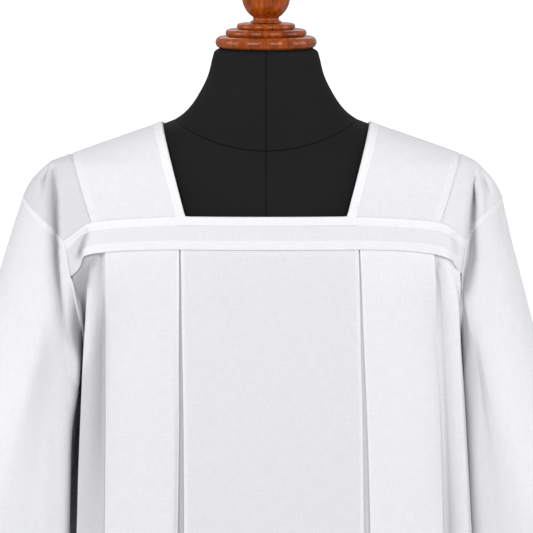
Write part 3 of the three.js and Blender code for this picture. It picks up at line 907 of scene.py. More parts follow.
@dataclass
class Cloth:
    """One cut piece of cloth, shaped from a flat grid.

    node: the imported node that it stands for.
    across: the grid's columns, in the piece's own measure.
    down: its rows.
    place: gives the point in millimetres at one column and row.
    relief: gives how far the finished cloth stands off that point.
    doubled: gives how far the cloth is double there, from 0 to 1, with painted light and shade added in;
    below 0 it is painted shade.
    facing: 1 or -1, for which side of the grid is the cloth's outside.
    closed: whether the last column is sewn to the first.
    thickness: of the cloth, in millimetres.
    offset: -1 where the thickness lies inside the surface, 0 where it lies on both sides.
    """

    node: str
    across: list[float]
    down: list[float]
    place: Callable[[float, float], Vector]
    relief: Callable[[float, float, Vector], float]
    doubling_and_painted_light: Callable[[float, float, Vector], float] = lambda u, v, p: SINGLE
    facing: int = 1
    closed: bool = False
    thickness: float = CLOTH
    offset: float = -1
    _finished: list[list[Vector]] = field(default_factory=list)

    def points(self) -> list[list[Vector]]:
        """Return the finished outer surface as rows of points.

        Returns:
            Its rows, each a list of points in millimetres.
        """
        if self._finished:
            return self._finished
        base = [[self.place(u, v) for u in self.across] for v in self.down]
        rows, cols = len(base), len(base[0])
        made = self._finished
        for r, row in enumerate(base):
            above, below = base[max(0, r - 1)], base[min(rows - 1, r + 1)]
            line = []
            for c, p in enumerate(row):
                before = row[c - 1] if c else (row[-2] if self.closed else p)
                after = row[c + 1] if c < cols - 1 else (row[1] if self.closed else p)
                normal = (after - before).cross(below[c] - above[c]).normalized() * self.facing
                line.append(p + normal * self.relief(self.across[c], self.down[r], p))
            made.append(line)
        return made

    def made(self, material: Material) -> Piece:
        """Shape the grid, measure its threads and give it its thickness.

        Args:
            material: The cloth's finish.

        Returns:
            The piece.
        """
        points = self.points()
        rows, cols = len(points), len(points[0])
        bm = bmesh.new()
        bmesh.ops.create_grid(bm, x_segments=cols - 1, y_segments=rows - 1, size=1)
        spots = {}
        # this layer holds how far the cloth is double, with the painted light and shade added in
        double = bm.verts.layers.float.new(LAYERS_AND_PAINTED_LIGHT)
        for vert in bm.verts:
            c = round((vert.co.x + 1) / 2 * (cols - 1))
            r = round((vert.co.y + 1) / 2 * (rows - 1))
            spots[vert] = (c, r)
            vert.co = points[r][c] * MM
            vert[double] = self.doubling_and_painted_light(self.across[c], self.down[r], points[r][c])
        self._measure(bm, spots)
        if self.facing < 0:
            bmesh.ops.reverse_faces(bm, faces=bm.faces[:])
        if self.closed:
            bmesh.ops.remove_doubles(bm, verts=bm.verts[:], dist=MERGE)
        piece = finished(f"{self.node}_cloth", bm, material, Slot.CLOTH)
        wall = piece.modifiers.new("cloth", "SOLIDIFY")
        wall.thickness = self.thickness * MM
        wall.offset = self.offset
        return piece

    def row(self, v: float, lift: float = 0.0) -> list[Vector]:
        """Return the finished row nearest to a place down the grid, lifted a little off the cloth.

        Args:
            v: The place down the grid.
            lift: The distance off the cloth.

        Returns:
            The row's points, in millimetres.
        """
        r = min(range(len(self.down)), key=lambda i: abs(self.down[i] - v))
        line = self.points()[r]
        raised = []
        for before, p, after in zip([line[0], *line], line, [*line[1:], line[-1]]):
            out = (after - before).cross(Vector((0, 0, -1)))
            raised.append(p + out.normalized() * self.facing * lift if out.length else p)
        return raised

    def _measure(self, bm: bmesh.types.BMesh, spots: dict[bmesh.types.BMVert, tuple[int, int]]) -> None:
        """Give the grid a UV map whose unit is a metre of thread, along the middle row and column.

        Args:
            bm: The shaped grid.
            spots: The column and row of each of its points.
        """
        points = self.points()
        middle = len(points[0]) // 2
        wide, tall = (
            [0.0, *accumulate((b - a).length * MM for a, b in zip(line, line[1:]))]
            for line in (points[len(points) // 2], [row[middle] for row in points])
        )
        uv = bm.loops.layers.uv.new(THREAD_MAP)
        for face in bm.faces:
            for loop in face.loops:
                c, r = spots[loop.vert]
                loop[uv].uv = (wide[c], tall[r])

    def sewn(
        self,
        wardrobe: Wardrobe,
        cut: Cut,
        on: Sequence[str] = (),
        thread: str = "",
        rows: Sequence[list[Vector]] = (),
    ) -> Piece:
        """Args:
            wardrobe: The finishes.
            cut: Its flat cut.
            on: The nodes that it hangs from or lies on, where they differ from the cut's own.
            thread: The name of its stitches.
            rows: Where they run.

        Returns:
            The piece.
        """
        piece = self.made(wardrobe.cloth)
        threads = [stitches(thread, rows, wardrobe.thread)] if rows else []
        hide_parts(self.node)
        list(on or cut.rests_on)
        return piece


# ---- The yoke ---------------------------------------------------------------------------------


@dataclass
class Yoke:
    """The surface that lies over the shoulders, and the seams on it."""

    ridge_neck: float = 1480
    ridge_strap: float = 1444
    ridge_arm: float = 1395
    neck_front_half: float = 92
    neck_ridge_half: float = 119
    neck_back_height: float = 1442
    strap_front: float = 197.5
    panel_front: float = 229
    band_end: float = 220
    shoulder_shift: float = 4
    strap_outer: float = 215
    shoulder_span: float = 45
    bows: dict[Side, float] = field(default_factory=lambda: {Side.LEFT: 7.0, Side.RIGHT: 0.5})
    folds: tuple[Crease, ...] = ()
    folds_start: float = 12
    folds_grow: float = 20
    fold_depth: float = 16
    sections: Sections = Sections(
        Section(1480, 119, 76, 82, 1.80),
        Section(1462, 171, 84, 88, 1.82),
        Section(1444, 221, 91, 93, 1.86),
        Section(1435, 242, 94.5, 95.5, 1.90),
        Section(1423, 256, 98.5, 98, 1.94),
        Section(1411, 266, 102, 100, 1.98),
        Section(1395, 274, 105.5, 102, 2.02),
        Section(1378, 280.5, 108.5, 103.5, 2.06),
        Section(1352, 289, 111.5, 105, 2.10),
        Section(1328, 296, 113, 105.5, 2.14),
        Section(1300, 304, 114, 106, 2.18),
    )
    band_top: Curve = Curve((0, 1380.5), (100, 1380.3), (150, 1377.5), (197.5, 1371.8), (229, 1350.5))
    band_bottom: Curve = Curve(
        (0, 1344), (100, 1344), (150, 1342.2), (186, 1337), (200, 1331.5), (208, 1322), (220, 1310.5)
    )
    front_edge: Curve = Curve(
        (-220, 1311.5), (-214, 1317), (-209.6, 1323.2), (-206.6, 1333.6), (-188, 1338.6), (-150, 1342.2),
        (-100, 1344), (0, 1344), (100, 1344), (150, 1342.2), (190, 1337), (208, 1330.6),
        (211.6, 1327.6), (214, 1322.6), (220, 1314),
    )
    back_edge: Curve = Curve(
        (-220, 1311), (-206, 1326), (-186, 1337), (-150, 1342.2), (-100, 1344), (0, 1344),
        (100, 1344), (150, 1342.2), (186, 1337), (206, 1326), (220, 1311),
    )

    def edge(self, facing: int) -> Curve:
        """Return the height of the lower edge of the front band (-1) or the back band (1)."""
        return self.front_edge if facing < 0 else self.back_edge

    def on(self, across: float, height: float, facing: int) -> Vector:
        """Return a point of the yoke's surface."""
        return Vector((across, self.sections.at(height).depth(facing, across), height))

    def _level(self, p: Vector) -> float:
        """Return how far out a place lies, which is 1 on the surface.

        Args:
            p: The place, in millimetres.

        Returns:
            Its level.
        """
        s = self.sections.at(p.z)
        reach = s.front if p.y < 0 else s.back
        return abs(p.x / s.half_width) ** s.square + abs(p.y / reach) ** s.square

    def outward(self, p: Vector) -> Vector:
        """Return the direction straight out of the surface.

        Args:
            p: One of its points.

        Returns:
            The direction, with a length of 1.
        """
        step = 0.5
        slopes = []
        for axis in range(3):
            push = Vector((0, 0, 0))
            push[axis] = step
            slopes.append(self._level(p + push) - self._level(p - push))
        return Vector(slopes).normalized()

    def settled(self, p: Vector) -> Vector:
        """Move a point with the garment, which sits a little to the wearer's right at the shoulders."""
        moved = self.shoulder_shift * ease((abs(p.x) - self.strap_outer) / self.shoulder_span)
        return Vector((p.x - moved, p.y, p.z))

    def draped(self, p: Vector) -> Vector:
        """Settle a point, and lay the deep folds that run from the shoulder over the seams.

        Args:
            p: The point, in millimetres.

        Returns:
            The point where the cloth really lies.
        """
        p = self.settled(p)
        share = ease((abs(p.y) - self.folds_start) / self.folds_grow)
        lift = share * lifted(self.folds, p) if share else 0.0
        return Vector((p.x, p.y + math.copysign(lift, p.y * lift), p.z)) if lift else p

    def shade(self, p: Vector) -> float:
        """Return how deep a place lies in a shoulder fold, from 0 to 1 at the deepest."""
        return min(1.0, max(0.0, -lifted(self.folds, p) / self.fold_depth))

    def neck_half(self, height: float) -> float:
        """Return half the neck opening's width at one height."""
        low = self.band_top(0)
        return mix(self.neck_front_half, self.neck_ridge_half, (height - low) / (self.ridge_neck - low))

    def over_shoulder(self, ridge: float, band_across: float, down: float, bow: float = 0.0) -> Vector:
        """Return a point on the way from the back band over the shoulder to the front band.

        Args:
            ridge: Where the way crosses the shoulder line.
            band_across: Where it meets the band.
            down: -1 at the back band, 0 on the shoulder line and 1 at the front band.
            bow: How far the way bends towards the neck at the front.

        Returns:
            The point, in millimetres.
        """
        facing = 1 if down < 0 else -1
        way = 1 - math.cos(abs(down) * math.pi / 2)
        band_height = self.band_top(band_across) + SEAM
        across = mix(self.sections.at(ridge).half_width, band_across, way)
        across -= bow * math.sin(math.pi * min(1.0, way)) if down > 0 else 0.0
        return self.on(across, mix(ridge, band_height, way), facing)

    def strap(self, side: Side, u: float, down: float) -> Vector:
        """Return a point of a yoke strap.

        Args:
            side: Which strap.
            u: The share from the neck (0) to its outer seam (1).
            down: The way over the shoulder, as for over_shoulder.

        Returns:
            The point, in millimetres.
        """
        ridge = mix(self.ridge_neck, self.ridge_strap, u)
        p = self.over_shoulder(ridge, mix(self.neck_front_half, self.strap_front, u), down)
        return self.settled(side.of(p))

    def panel(self, side: Side, u: float, down: float) -> Vector:
        """Return a point of a shoulder panel.

        Args:
            side: Which panel.
            u: The share from the strap's seam (0) to the armhole (1).
            down: The way over the shoulder, as for over_shoulder.

        Returns:
            The point, in millimetres.
        """
        ridge = mix(self.ridge_strap, self.ridge_arm, u)
        bow = self.bows[side] * max(0.0, u) ** 1.5
        p = self.over_shoulder(ridge, mix(self.strap_front, self.panel_front, u), down, bow)
        return self.draped(side.of(p))

    def band(self, facing: int, s: float, t: float) -> Vector:
        """Return a point of a band, from one end (-1) to the other (1), and from its top (0) down.

        Args:
            facing: -1 for the front band and 1 for the back one.
            s: The share along it.
            t: The share down it.

        Returns:
            The point, in millimetres.
        """
        top, bottom = self.panel_front * s, self.band_end * s
        height = mix(self.band_top(abs(top)), self.edge(facing)(bottom), t)
        return self.draped(self.on(mix(top, bottom, t), height, facing))


# ---- The armhole and the sleeve ---------------------------------------------------------------


@dataclass
class Armhole:
    """The seam round one armhole, as a smooth closed line that starts on the shoulder."""

    yoke: Yoke
    side: Side
    underarm_height: float = 1238
    steps: int = 40

    def __post_init__(self) -> None:
        """Walk round the seam once and measure it."""
        front, back = self._half(-1), self._half(1)
        line = front + back[::-1][1:-1]
        self.line = [*line, line[0]]
        self.walked = [0.0]
        for a, b in zip(self.line, self.line[1:]):
            self.walked.append(self.walked[-1] + (b - a).length)

    @property
    def fullness(self) -> float:
        """Return how long the seam stays at the front before it turns under the arm."""
        return 0.6 if self.side is Side.LEFT else 0.9

    @property
    def underarm(self) -> float:
        """Return how far out the seam's lowest point lies."""
        return 216 if self.side is Side.LEFT else 203

    @property
    def slant(self) -> float:
        """Return how fast the seam runs inwards: below 1 it starts to do so at once."""
        return 1.0 if self.side is Side.LEFT else 0.6

    def lower(self, share: float, facing: int) -> Vector:
        """Return a point between the end of the band and the underarm.

        Args:
            share: The share of the way down, from 0 to 1.
            facing: -1 before the arm and 1 behind it.

        Returns:
            The point on the wearer's left, in millimetres.
        """
        start = self.yoke.on(self.yoke.band_end, self.yoke.band_bottom(self.yoke.band_end), facing)
        turn = math.pi / 2 * share
        fullness, steepness = (self.fullness, 2.8) if facing < 0 else (0.8, 1.5)
        x = mix(start.x, self.underarm, math.sin(turn) ** self.slant)
        y = start.y * max(0.0, math.cos(turn)) ** fullness
        return Vector((x, y, mix(self.underarm_height, start.z, (1 - share) ** steepness)))

    def _half(self, facing: int) -> list[Vector]:
        """Return the seam from the shoulder line to the underarm.

        Args:
            facing: -1 before the arm and 1 behind it.

        Returns:
            Its points on the wearer's left.
        """
        yoke = self.yoke
        bow = yoke.bows[self.side]
        over = [
            yoke.over_shoulder(yoke.ridge_arm, yoke.panel_front, -facing * d, bow)
            for d in spread(0, 1, self.steps)
        ]
        high, low = yoke.band_top(yoke.panel_front), yoke.band_bottom(yoke.band_end)
        end = [
            yoke.on(mix(yoke.panel_front, yoke.band_end, t), mix(high, low, t), facing)
            for t in spread(0, 1, 10)[1:]
        ]
        return [*over, *end, *(self.lower(share, facing) for share in spread(0, 1, self.steps)[1:])]

    def at(self, share: float) -> Vector:
        """Return a point of the seam.

        Args:
            share: The share of the way round, from the shoulder down the front.

        Returns:
            The point on the wearer's left, in millimetres.
        """
        aim = (share % 1.0) * self.walked[-1]
        i = min(len(self.line) - 2, bisect_right(self.walked, aim) - 1)
        t = (aim - self.walked[i]) / (self.walked[i + 1] - self.walked[i])
        return self.line[i].lerp(self.line[i + 1], t)


class Cuff(NamedTuple):
    """The cuff of a sleeve: where its centre hangs, and its half width and half depth."""

    across: float
    half_width: float
    half_depth: float
    forward: float = 17
    height: float = 838
    lean: float = 7
    square: float = 2.3

    def at(self, outward: float, forward: float) -> Vector:
        """Return a point of its slightly square outline.

        Args:
            outward: How far outward the point's direction leans, from -1 to 1.
            forward: How far forward.

        Returns:
            The point on the wearer's left, in millimetres.
        """
        out, ahead = (math.copysign(abs(v) ** (2 / self.square), v) for v in (outward, forward))
        lean = math.radians(self.lean)
        x = self.across + self.half_width * out * math.cos(lean)
        z = self.height + self.half_width * out * math.sin(lean)
        return Vector((x, -self.forward - self.half_depth * ahead, z))


class Lap(NamedTuple):
    """Where an edge of the sleeve laps over the skirt's side.

    reach: how far it does so.
    middle: how far outward its middle points.
    breadth: how wide it is round that.
    start: how far forward or backward it begins.
    over: over how much more of the way it grows.
    """

    reach: float
    middle: float
    breadth: float
    start: float
    over: float

    def shift(self, t: float, outward: float, towards: float) -> float:
        """Return how far the lap moves one place of the sleeve.

        Args:
            t: How far down the sleeve the place lies.
            outward: How far outward it points, from -1 to 1.
            towards: How far it points the lap's way.

        Returns:
            The distance, in millimetres.
        """
        grown = ease((t - 0.04) / 0.2) * ease((1 - t) / 0.4)
        held = ease((towards - self.start) / self.over)
        return self.reach * grown * bell(outward, self.middle, self.breadth) * held


class PaintedSleeveShade(NamedTuple):
    """How much shade is painted on a sleeve behind its front edge and in the shoulder's folds.

    folds: how much painted shade a shoulder fold gives it.
    behind: how far past the edge the painted shade's middle lies, as a share of the way round.
    breadth: the painted shade's half width there, as the same share.
    start: how far down the sleeve it starts, and over how much it grows.
    high: how dark it is painted high up.
    low: how dark it is painted further down.
    change: how far down it changes from one to the other, and over how much.
    """

    folds: float
    behind: float
    breadth: float
    start: tuple[float, float]
    high: float
    low: float
    change: tuple[float, float]


PAINTED_SLEEVE_SHADES = {
    Side.LEFT: PaintedSleeveShade(0.7, 0.0, 0.085, (0.01, 0.03), 1.9, 0.9, (0.07, 0.12)),
    Side.RIGHT: PaintedSleeveShade(0.85, 0.02, 0.06, (0.005, 0.02), 1.5, 0.0, (0.08, 0.09)),
}

SLEEVE_EDGES = {
    Side.LEFT: Curve(
        (1333, 238.5), (1297, 231), (1261, 222.5), (1230, 224.5), (1162, 229), (1006, 239.5), (900, 249),
        (838, 256),
    ),
    Side.RIGHT: Curve(
        (1311, 219.5), (1285, 218.5), (1248, 214), (1227, 213), (1190, 214), (1165, 218), (1130, 223),
        (1006, 227), (900, 235), (838, 246),
    ),
}


@dataclass
class Sleeve:
    """One wide sleeve, which hangs from its armhole and is open at the cuff."""

    yoke: Yoke
    side: Side
    creases: tuple[Crease, ...] = ()
    allowance: float = 9.5
    hem: float = 26
    ease_out: float = 0.8
    belly: float = 11
    edge_share: float = 0.37
    edge_breadth: float = 0.09
    edge_back: float = 22
    bulge: float = 3
    length: float = 520
    columns: int = 132
    rows: int = 120

    def __post_init__(self) -> None:
        """Set the sizes that differ between the two sleeves."""
        left = self.side is Side.LEFT
        self.armhole = Armhole(self.yoke, self.side)
        self.cuff = Cuff(325, 68, 60) if left else Cuff(321, 75, 58)
        self.leaves, self.follows = (0.24, 0.5) if left else (0.12, 0.78)
        self.front_lap = Lap(16 if left else 19, -0.65, 0.3, 0.3, 0.4)
        self.back_lap = Lap(34, -0.55, 0.3, 0.4, 0.35)
        self.rails: dict[float, tuple[Vector, ...]] = {}
        self.edges: dict[float, float] = {}
        self.front_edge = SLEEVE_EDGES[self.side]

    @staticmethod
    def _way(share: float) -> tuple[float, float]:
        """Return how far outward and how far forward a place round the sleeve points, from -1 to 1."""
        return math.cos(2 * math.pi * share), math.sin(2 * math.pi * share)

    def _rail(self, share: float) -> tuple[Vector, ...]:
        """Return one lengthwise line.

        Args:
            share: How far round it lies, from the shoulder down the front.

        Returns:
            Its start, its end, and its direction at each.
        """
        if share in self.rails:
            return self.rails[share]
        start = self.armhole.at(share)
        outward, forward = self._way(share)
        end = self.cuff.at(outward, forward)
        length = (end - start).length
        normal = self.yoke.outward(start)
        # Down to the band's end the sleeve starts just outside the seam, and below that beside the skirt.
        lower = ease((0.35 - outward) / 0.7)
        foot = self.yoke.band_bottom(self.yoke.band_end)
        below = ease((foot + 30 - start.z) / 60)
        run = self.armhole.at(share + 0.004) - self.armhole.at(share - 0.004)
        away = normal.cross(run).normalized() * (-0.6 * (1 - below))
        away += Vector((1.5 * CLOTH + 1.5 * SEAM, 0, -2 * SEAM)) * below
        slide = (Vector((0, 0, -1)) + normal * normal.z).normalized()
        slide.x *= self.follows
        under = Vector((self.leaves, 0, -1)).normalized()
        leave = slide.lerp(under, lower).normalized() * self.ease_out * length
        arrive = Vector((0.09, 0.03 * forward, -1)).normalized() * length
        self.rails[share] = (start + away, end, leave, arrive)
        return self.rails[share]

    def place(self, share: float, t: float) -> Vector:
        """Return a point of the sleeve's inner surface.

        Args:
            share: How far round it lies, from the shoulder down the front.
            t: How far it lies from the armhole (0) to the cuff (1).

        Returns:
            The point, in millimetres.
        """
        p = self._hung(share, t)
        breadth = self.edge_breadth * (1 if share > self.edge_share else 2.2)
        beyond = ease((self.edge_share - share - 0.01) / 0.07)
        p.x += self._edge_shift(t) * bell(share, self.edge_share, breadth) * mix(1, ease(t / 0.2), beyond)
        turned = 0.13 if share < self.edge_share + 0.02 else 0.1
        back = self.edge_back * ease((t - 0.04) / 0.26) * ease((1 - t) / 0.35)
        p.y += back * bell(share, self.edge_share + 0.02, turned)
        return self.yoke.draped(self.side.of(p))

    def _edge_shift(self, t: float) -> float:
        """Return how far the sleeve's front edge moves out, so that it hangs where it should.

        Args:
            t: How far down the sleeve.

        Returns:
            The distance, in millimetres.
        """
        if t not in self.edges:
            p = self._hung(self.edge_share, t)
            self.edges[t] = (self.front_edge(p.z) - p.x) * ease((t - 0.01) / 0.06)
        return self.edges[t]

    def _hung(self, share: float, t: float) -> Vector:
        """Return a point of the sleeve before its front edge is set.

        Args:
            share: How far round it lies.
            t: How far down.

        Returns:
            The point on the wearer's left, in millimetres.
        """
        start, end, leave, arrive = self._rail(share)
        outward, forward = self._way(share)
        p = start * (2 * t**3 - 3 * t**2 + 1) + leave * (t**3 - 2 * t**2 + t)
        p = p + end * (3 * t**2 - 2 * t**3) + arrive * (t**3 - t**2)
        p.y -= self.belly * forward * math.sin(math.pi * t) ** 2
        p.x += self.bulge * bell(t, 0.12, 0.1) * bell(outward, -0.6, 0.5) * ease(t / 0.09)
        front = self.front_lap.shift(t, outward, forward)
        back = self.back_lap.shift(t, outward, -forward)
        p.x -= front + back
        p.y += 0.5 * (back - front)
        return p

    def relief(self, share: float, t: float, p: Vector) -> float:
        """Return how far the finished cloth stands off the inner surface.

        Args:
            share: How far round it lies.
            t: How far down.
            p: The place, in millimetres.

        Returns:
            The distance, in millimetres.
        """
        down = t * self.length
        roll = 0.6 * (1 - ease(down / 1.1))
        allowance = 0.15 * (1 - ease((down - self.allowance + 0.5) / 1.0))
        hem = 0.45 * ease((down - (self.length - self.hem)) / 1.2)
        return CLOTH + allowance - roll + hem + lifted(self.creases, p) * ease(down / 12)

    def doubling_and_painted_light(self, share: float, t: float, p: Vector) -> float:
        """Return the cloth's tone: double at the armhole's allowance and the turned cuff, lighter further
        down, with painted shade.

        Args:
            share: How far round it lies.
            t: How far down.
            p: The place, in millimetres.

        Returns:
            1 where it is double, and below 0 where shade is painted, behind its front edge and in the
            shoulder's folds.
        """
        down = t * self.length
        seam = 1 - ease((down - self.allowance) / 0.8)
        hem = ease((down - (self.length - self.hem)) / 0.8)
        plain = mix(SINGLE, 0.95, ease(1.5 * t))
        shown = max(plain, 0.5 * seam, 0.8 * (1 - ease(down / 1.4)), 0.8 * hem)
        # painted shade in the shoulder's folds, and behind the front edge where the sleeve turns in
        sleeve_shade = PAINTED_SLEEVE_SHADES[self.side]
        painted_hollow_shade = bell(share, self.edge_share - sleeve_shade.behind, sleeve_shade.breadth)
        painted_hollow_shade *= ease((t - sleeve_shade.start[0]) / sleeve_shade.start[1])
        dark = mix(sleeve_shade.high, sleeve_shade.low, ease((t - sleeve_shade.change[0]) / sleeve_shade.change[1]))
        return shown - sleeve_shade.folds * self.yoke.shade(p) - painted_hollow_shade * dark

    def cloth(self) -> Cloth:
        """Return the sleeve's cut piece, ready to be made.

        Returns:
            The cloth.
        """
        down = sorted({*spread(0, 1, self.rows), 0.0012, 0.0025, 0.004})
        down = with_edges(down, (self.allowance / self.length, 1 - self.hem / self.length), 0.0018)
        node, around = f"sleeve_{self.side.word}", spread(0, 1, self.columns)
        return Cloth(node, around, down, self.place, self.relief, self.doubling_and_painted_light, self.side.value, closed=True)

    def made(self, wardrobe: Wardrobe) -> Piece:
        """Make the sleeve, with the row of stitches that holds its cuff.

        Args:
            wardrobe: The finishes.

        Returns:
            The piece.
        """
        cloth = self.cloth()
        row = cloth.row(1 - (self.hem - HEM_INSET) / self.length, THREAD_LIFT)
        on = (f"shoulder_panel_{self.side.word}", "front_skirt", "back_skirt")
        return cloth.sewn(wardrobe, CUTS["sleeve"], on, f"{cloth.node}_stitches", [row])


# ---- The pleated skirt ------------------------------------------------------------------------


class Fold(NamedTuple):
    """A fold: its distance from the centre line at the band, the waist and the hem, and its way.

    It points away from the centre line where `way` is 1 and towards it where `way` is -1.
    """

    band: float
    waist: float
    hem: float
    way: int


class Stop(NamedTuple):
    """One column of the skirt: a share along a run of cloth, and a share round the fold after it."""

    run: int
    share: float
    turn: float = 0.0


class Flank(NamedTuple):
    """A line of the plain cloth that turns from the front or the back to the side.

    turn: its turn round the section low on the skirt, from the front (0) to the side (90).
    layer: how many layers inside the section it lies there.
    armhole: the share of the armhole's lower part where it is sewn on, or None on the band.
    hurry: the share of its length over which it leaves the seam's line.
    """

    turn: float
    layer: float
    armhole: float | None
    hurry: float


class Corner(NamedTuple):
    """How the plain cloth turns the corner at one side, high on the skirt.

    ridge: how far out its front ridge stands, by height.
    reach: how far out it gets beyond that, by height.
    seams: the places along the band of its first lines.
    steps: for each line, the share of the way from ridge to reach, and of the section's depth.
    haste: how soon the lines leave the seam, as a share of the usual way.
    """

    ridge: Curve
    reach: Curve
    seams: tuple[float, ...]
    steps: tuple[tuple[float, float], ...]
    haste: float = 1.0


CORNERS = {
    Side.RIGHT: Corner(
        Curve(
            (1340, 196), (1311, 197), (1262, 199), (1214, 202), (1158, 204.5), (1084, 207.5),
            (1018, 209.5), (700, 236), (100, 290),
        ),
        Curve(
            (1340, 201), (1311, 202), (1262, 204.5), (1214, 207.5), (1158, 210), (1084, 213),
            (1018, 215), (700, 244), (100, 298),
        ),
        (194, 201),
        ((0.3, 0.73), (1, 0.69), (0.95, 0.52), (0.8, 0.4), (0.6, 0.3), (0.3, 0.2), (0, 0.1), (0, 0)),
        0.6,
    ),
    Side.LEFT: Corner(
        Curve((1340, 205), (1300, 213), (1248, 216), (1180, 219.5), (1000, 229), (700, 246), (100, 296)),
        Curve((1340, 219), (1310, 221), (1248, 222), (1180, 227), (1000, 239), (700, 264)),
        (204, 212),
        ((0, 0.76), (0.4, 0.71), (0.72, 0.64), (0.88, 0.53), (0.96, 0.41), (1, 0.28), (1, 0.14), (1, 0)),
    ),
}


# The runs of the skirt's cloth, counted from the centre line: the middle panel, the panel beside
# it, the layer behind that one and the plain cloth out to the side seam. Runs 1 to 3 are the
# layers inside the pleat between the two panels.
MIDDLE, PANEL, BEHIND, BESIDE = 0, 4, 5, 6


@dataclass
class Skirt:
    """The pleated front or back, from the band down to the hem."""

    yoke: Yoke
    facing: int
    creases: tuple[Crease, ...] = ()
    hem_height: float = 100
    waist_height: float = 1007
    length: float = 1244
    hem: float = 38
    centre_half: float = 100
    pleat_width: float = 84
    corner_low: float = 560
    corner_grow: float = 420
    front_blend: float = 0.09
    tucked: float = 0.0052
    pressed: float = 0.6
    folds: tuple[Fold, ...] = (
        Fold(100, 101.5, 124, 1),
        Fold(72, 74, 101, -1),
        Fold(134, 138, 179, 1),
        Fold(102.4, 110, 152, -1),
        Fold(186, 193, 242, 1),
        Fold(165, 171, 215, -1),
    )
    layers: tuple[int, ...] = (0, 1, 2, 1, 0, 1, 2)
    run_end: Fold = Fold(182, 190, 236, 1)
    flanks: tuple[Flank, ...] = (
        Flank(57, 2.2, None, 0.03),
        Flank(61, 2.1, None, 0.045),
        Flank(66, 1.8, 0.0, 0.06),
        Flank(71, 1.4, 0.2, 0.09),
        Flank(76, 1.1, 0.4, 0.13),
        Flank(81, 0.9, 0.6, 0.15),
        Flank(86, 0.7, 0.8, 0.15),
        Flank(90, 0.5, 1.0, 0.15),
    )
    corners: dict[Side, Corner] = field(default_factory=lambda: CORNERS)
    sections: Sections = Sections(
        Section(1344, 212, 112.6, 105.6, 3.2, 4, 2.4),
        Section(1300, 213, 114, 107, 3.15, 5, 2.7),
        Section(1240, 214, 115.5, 108.5, 3.1, 6, 3.2),
        Section(1145, 221, 118, 111, 3.0, 8, 4.0),
        Section(1007, 230, 122, 115, 2.9, 9, 5.4),
        Section(700, 252, 137, 129, 2.7, 9, 9),
        Section(400, 276, 153, 145, 2.6, 8, 13),
        Section(100, 300, 170, 161, 2.5, 7, 17),
    )

    def __post_init__(self) -> None:
        """Lay out the columns and find the armholes."""
        self.armholes = {side: Armhole(self.yoke, side) for side in Side}
        half = self._half_stops()
        self.stops = [(Side.RIGHT, stop) for stop in half[::-1]] + [(Side.LEFT, stop) for stop in half[1:]]

    @staticmethod
    def _half_stops() -> list[Stop]:
        """Return the columns from the centre line to one side seam.

        Returns:
            The columns, in order.
        """
        steps = (22, 9, 12, 10, 22, 8, 5)
        stops = []
        for run, count in enumerate(steps):
            last = run == len(steps) - 1
            folded = MIDDLE < run < BESIDE
            for share in spread(0, 1, count):
                stops.append(Stop(run, ease(share) if folded else mix(share, share**0.8, 0.5)))
            if not last:
                stops.extend(Stop(run, 1.0, turn) for turn in (0.2, 0.4, 0.6, 0.8))
        stops.extend(Stop(len(steps), i / 5) for i in range(1, 5 * 8 + 1))
        return stops

    def _at(self, fold: Fold, height: float) -> float:
        """Return how far a fold lies from the centre line at one height.

        Args:
            fold: The fold.
            height: The height.

        Returns:
            The distance, in millimetres.
        """
        top = self.yoke.band_bottom(0)
        if height > self.waist_height:
            return mix(fold.band, fold.waist, (top - height) / (top - self.waist_height))
        below = self.waist_height - height
        return mix(fold.waist, fold.hem, below / (self.waist_height - self.hem_height))

    def _on(self, s: Section, side: Side, across: float, set_in: float, turn: float | None = None) -> Vector:
        """Return a point of a level section, set in from it.

        Args:
            s: The section.
            side: Which half of it.
            across: The distance from the centre line, used where no turn is given.
            set_in: How far inside the section it lies.
            turn: The angle from the front (0) to the side (90), or None.

        Returns:
            The point, in millimetres.
        """
        n = s.square
        reach = s.front if self.facing < 0 else s.back
        if turn is None:
            angle = math.asin(min(1.0, (max(0.0, across) / s.half_width) ** (n / 2)))
        else:
            angle = math.radians(turn)
        x = s.half_width * math.sin(angle) ** (2 / n)
        y = reach * max(0.0, math.cos(angle)) ** (2 / n)
        slopes = ((x / s.half_width) ** (n - 1) / s.half_width, (y / reach) ** (n - 1) / reach)
        out = Vector(slopes).normalized()
        x = s.shift + side.value * (x - out.x * set_in)
        return Vector((x, self.facing * (y - out.y * set_in), s.height))

    def _depth(self, run: int, across: float, height: float, layer: float, radius: float) -> float:
        """Return how far inside the section a run of cloth lies.

        Args:
            run: Which run it is.
            across: Where on the run.
            height: At which height.
            layer: The spacing of the layers there.
            radius: Half the thickness of a pressed fold.

        Returns:
            The distance, in millimetres.
        """
        mine = self.layers[run]
        depth = mine * layer
        reach = 9 + 2.2 * layer
        for near, fold in ((run - 1, run - 1), (run + 1, run)):
            if 0 <= near < len(self.layers) and self.layers[near] < mine:
                pressed = self.layers[near] * layer + 2 * radius
                away = abs(across - self._at(self.folds[fold], height))
                depth = mix(min(pressed, depth), depth, ease(away / reach))
        return depth

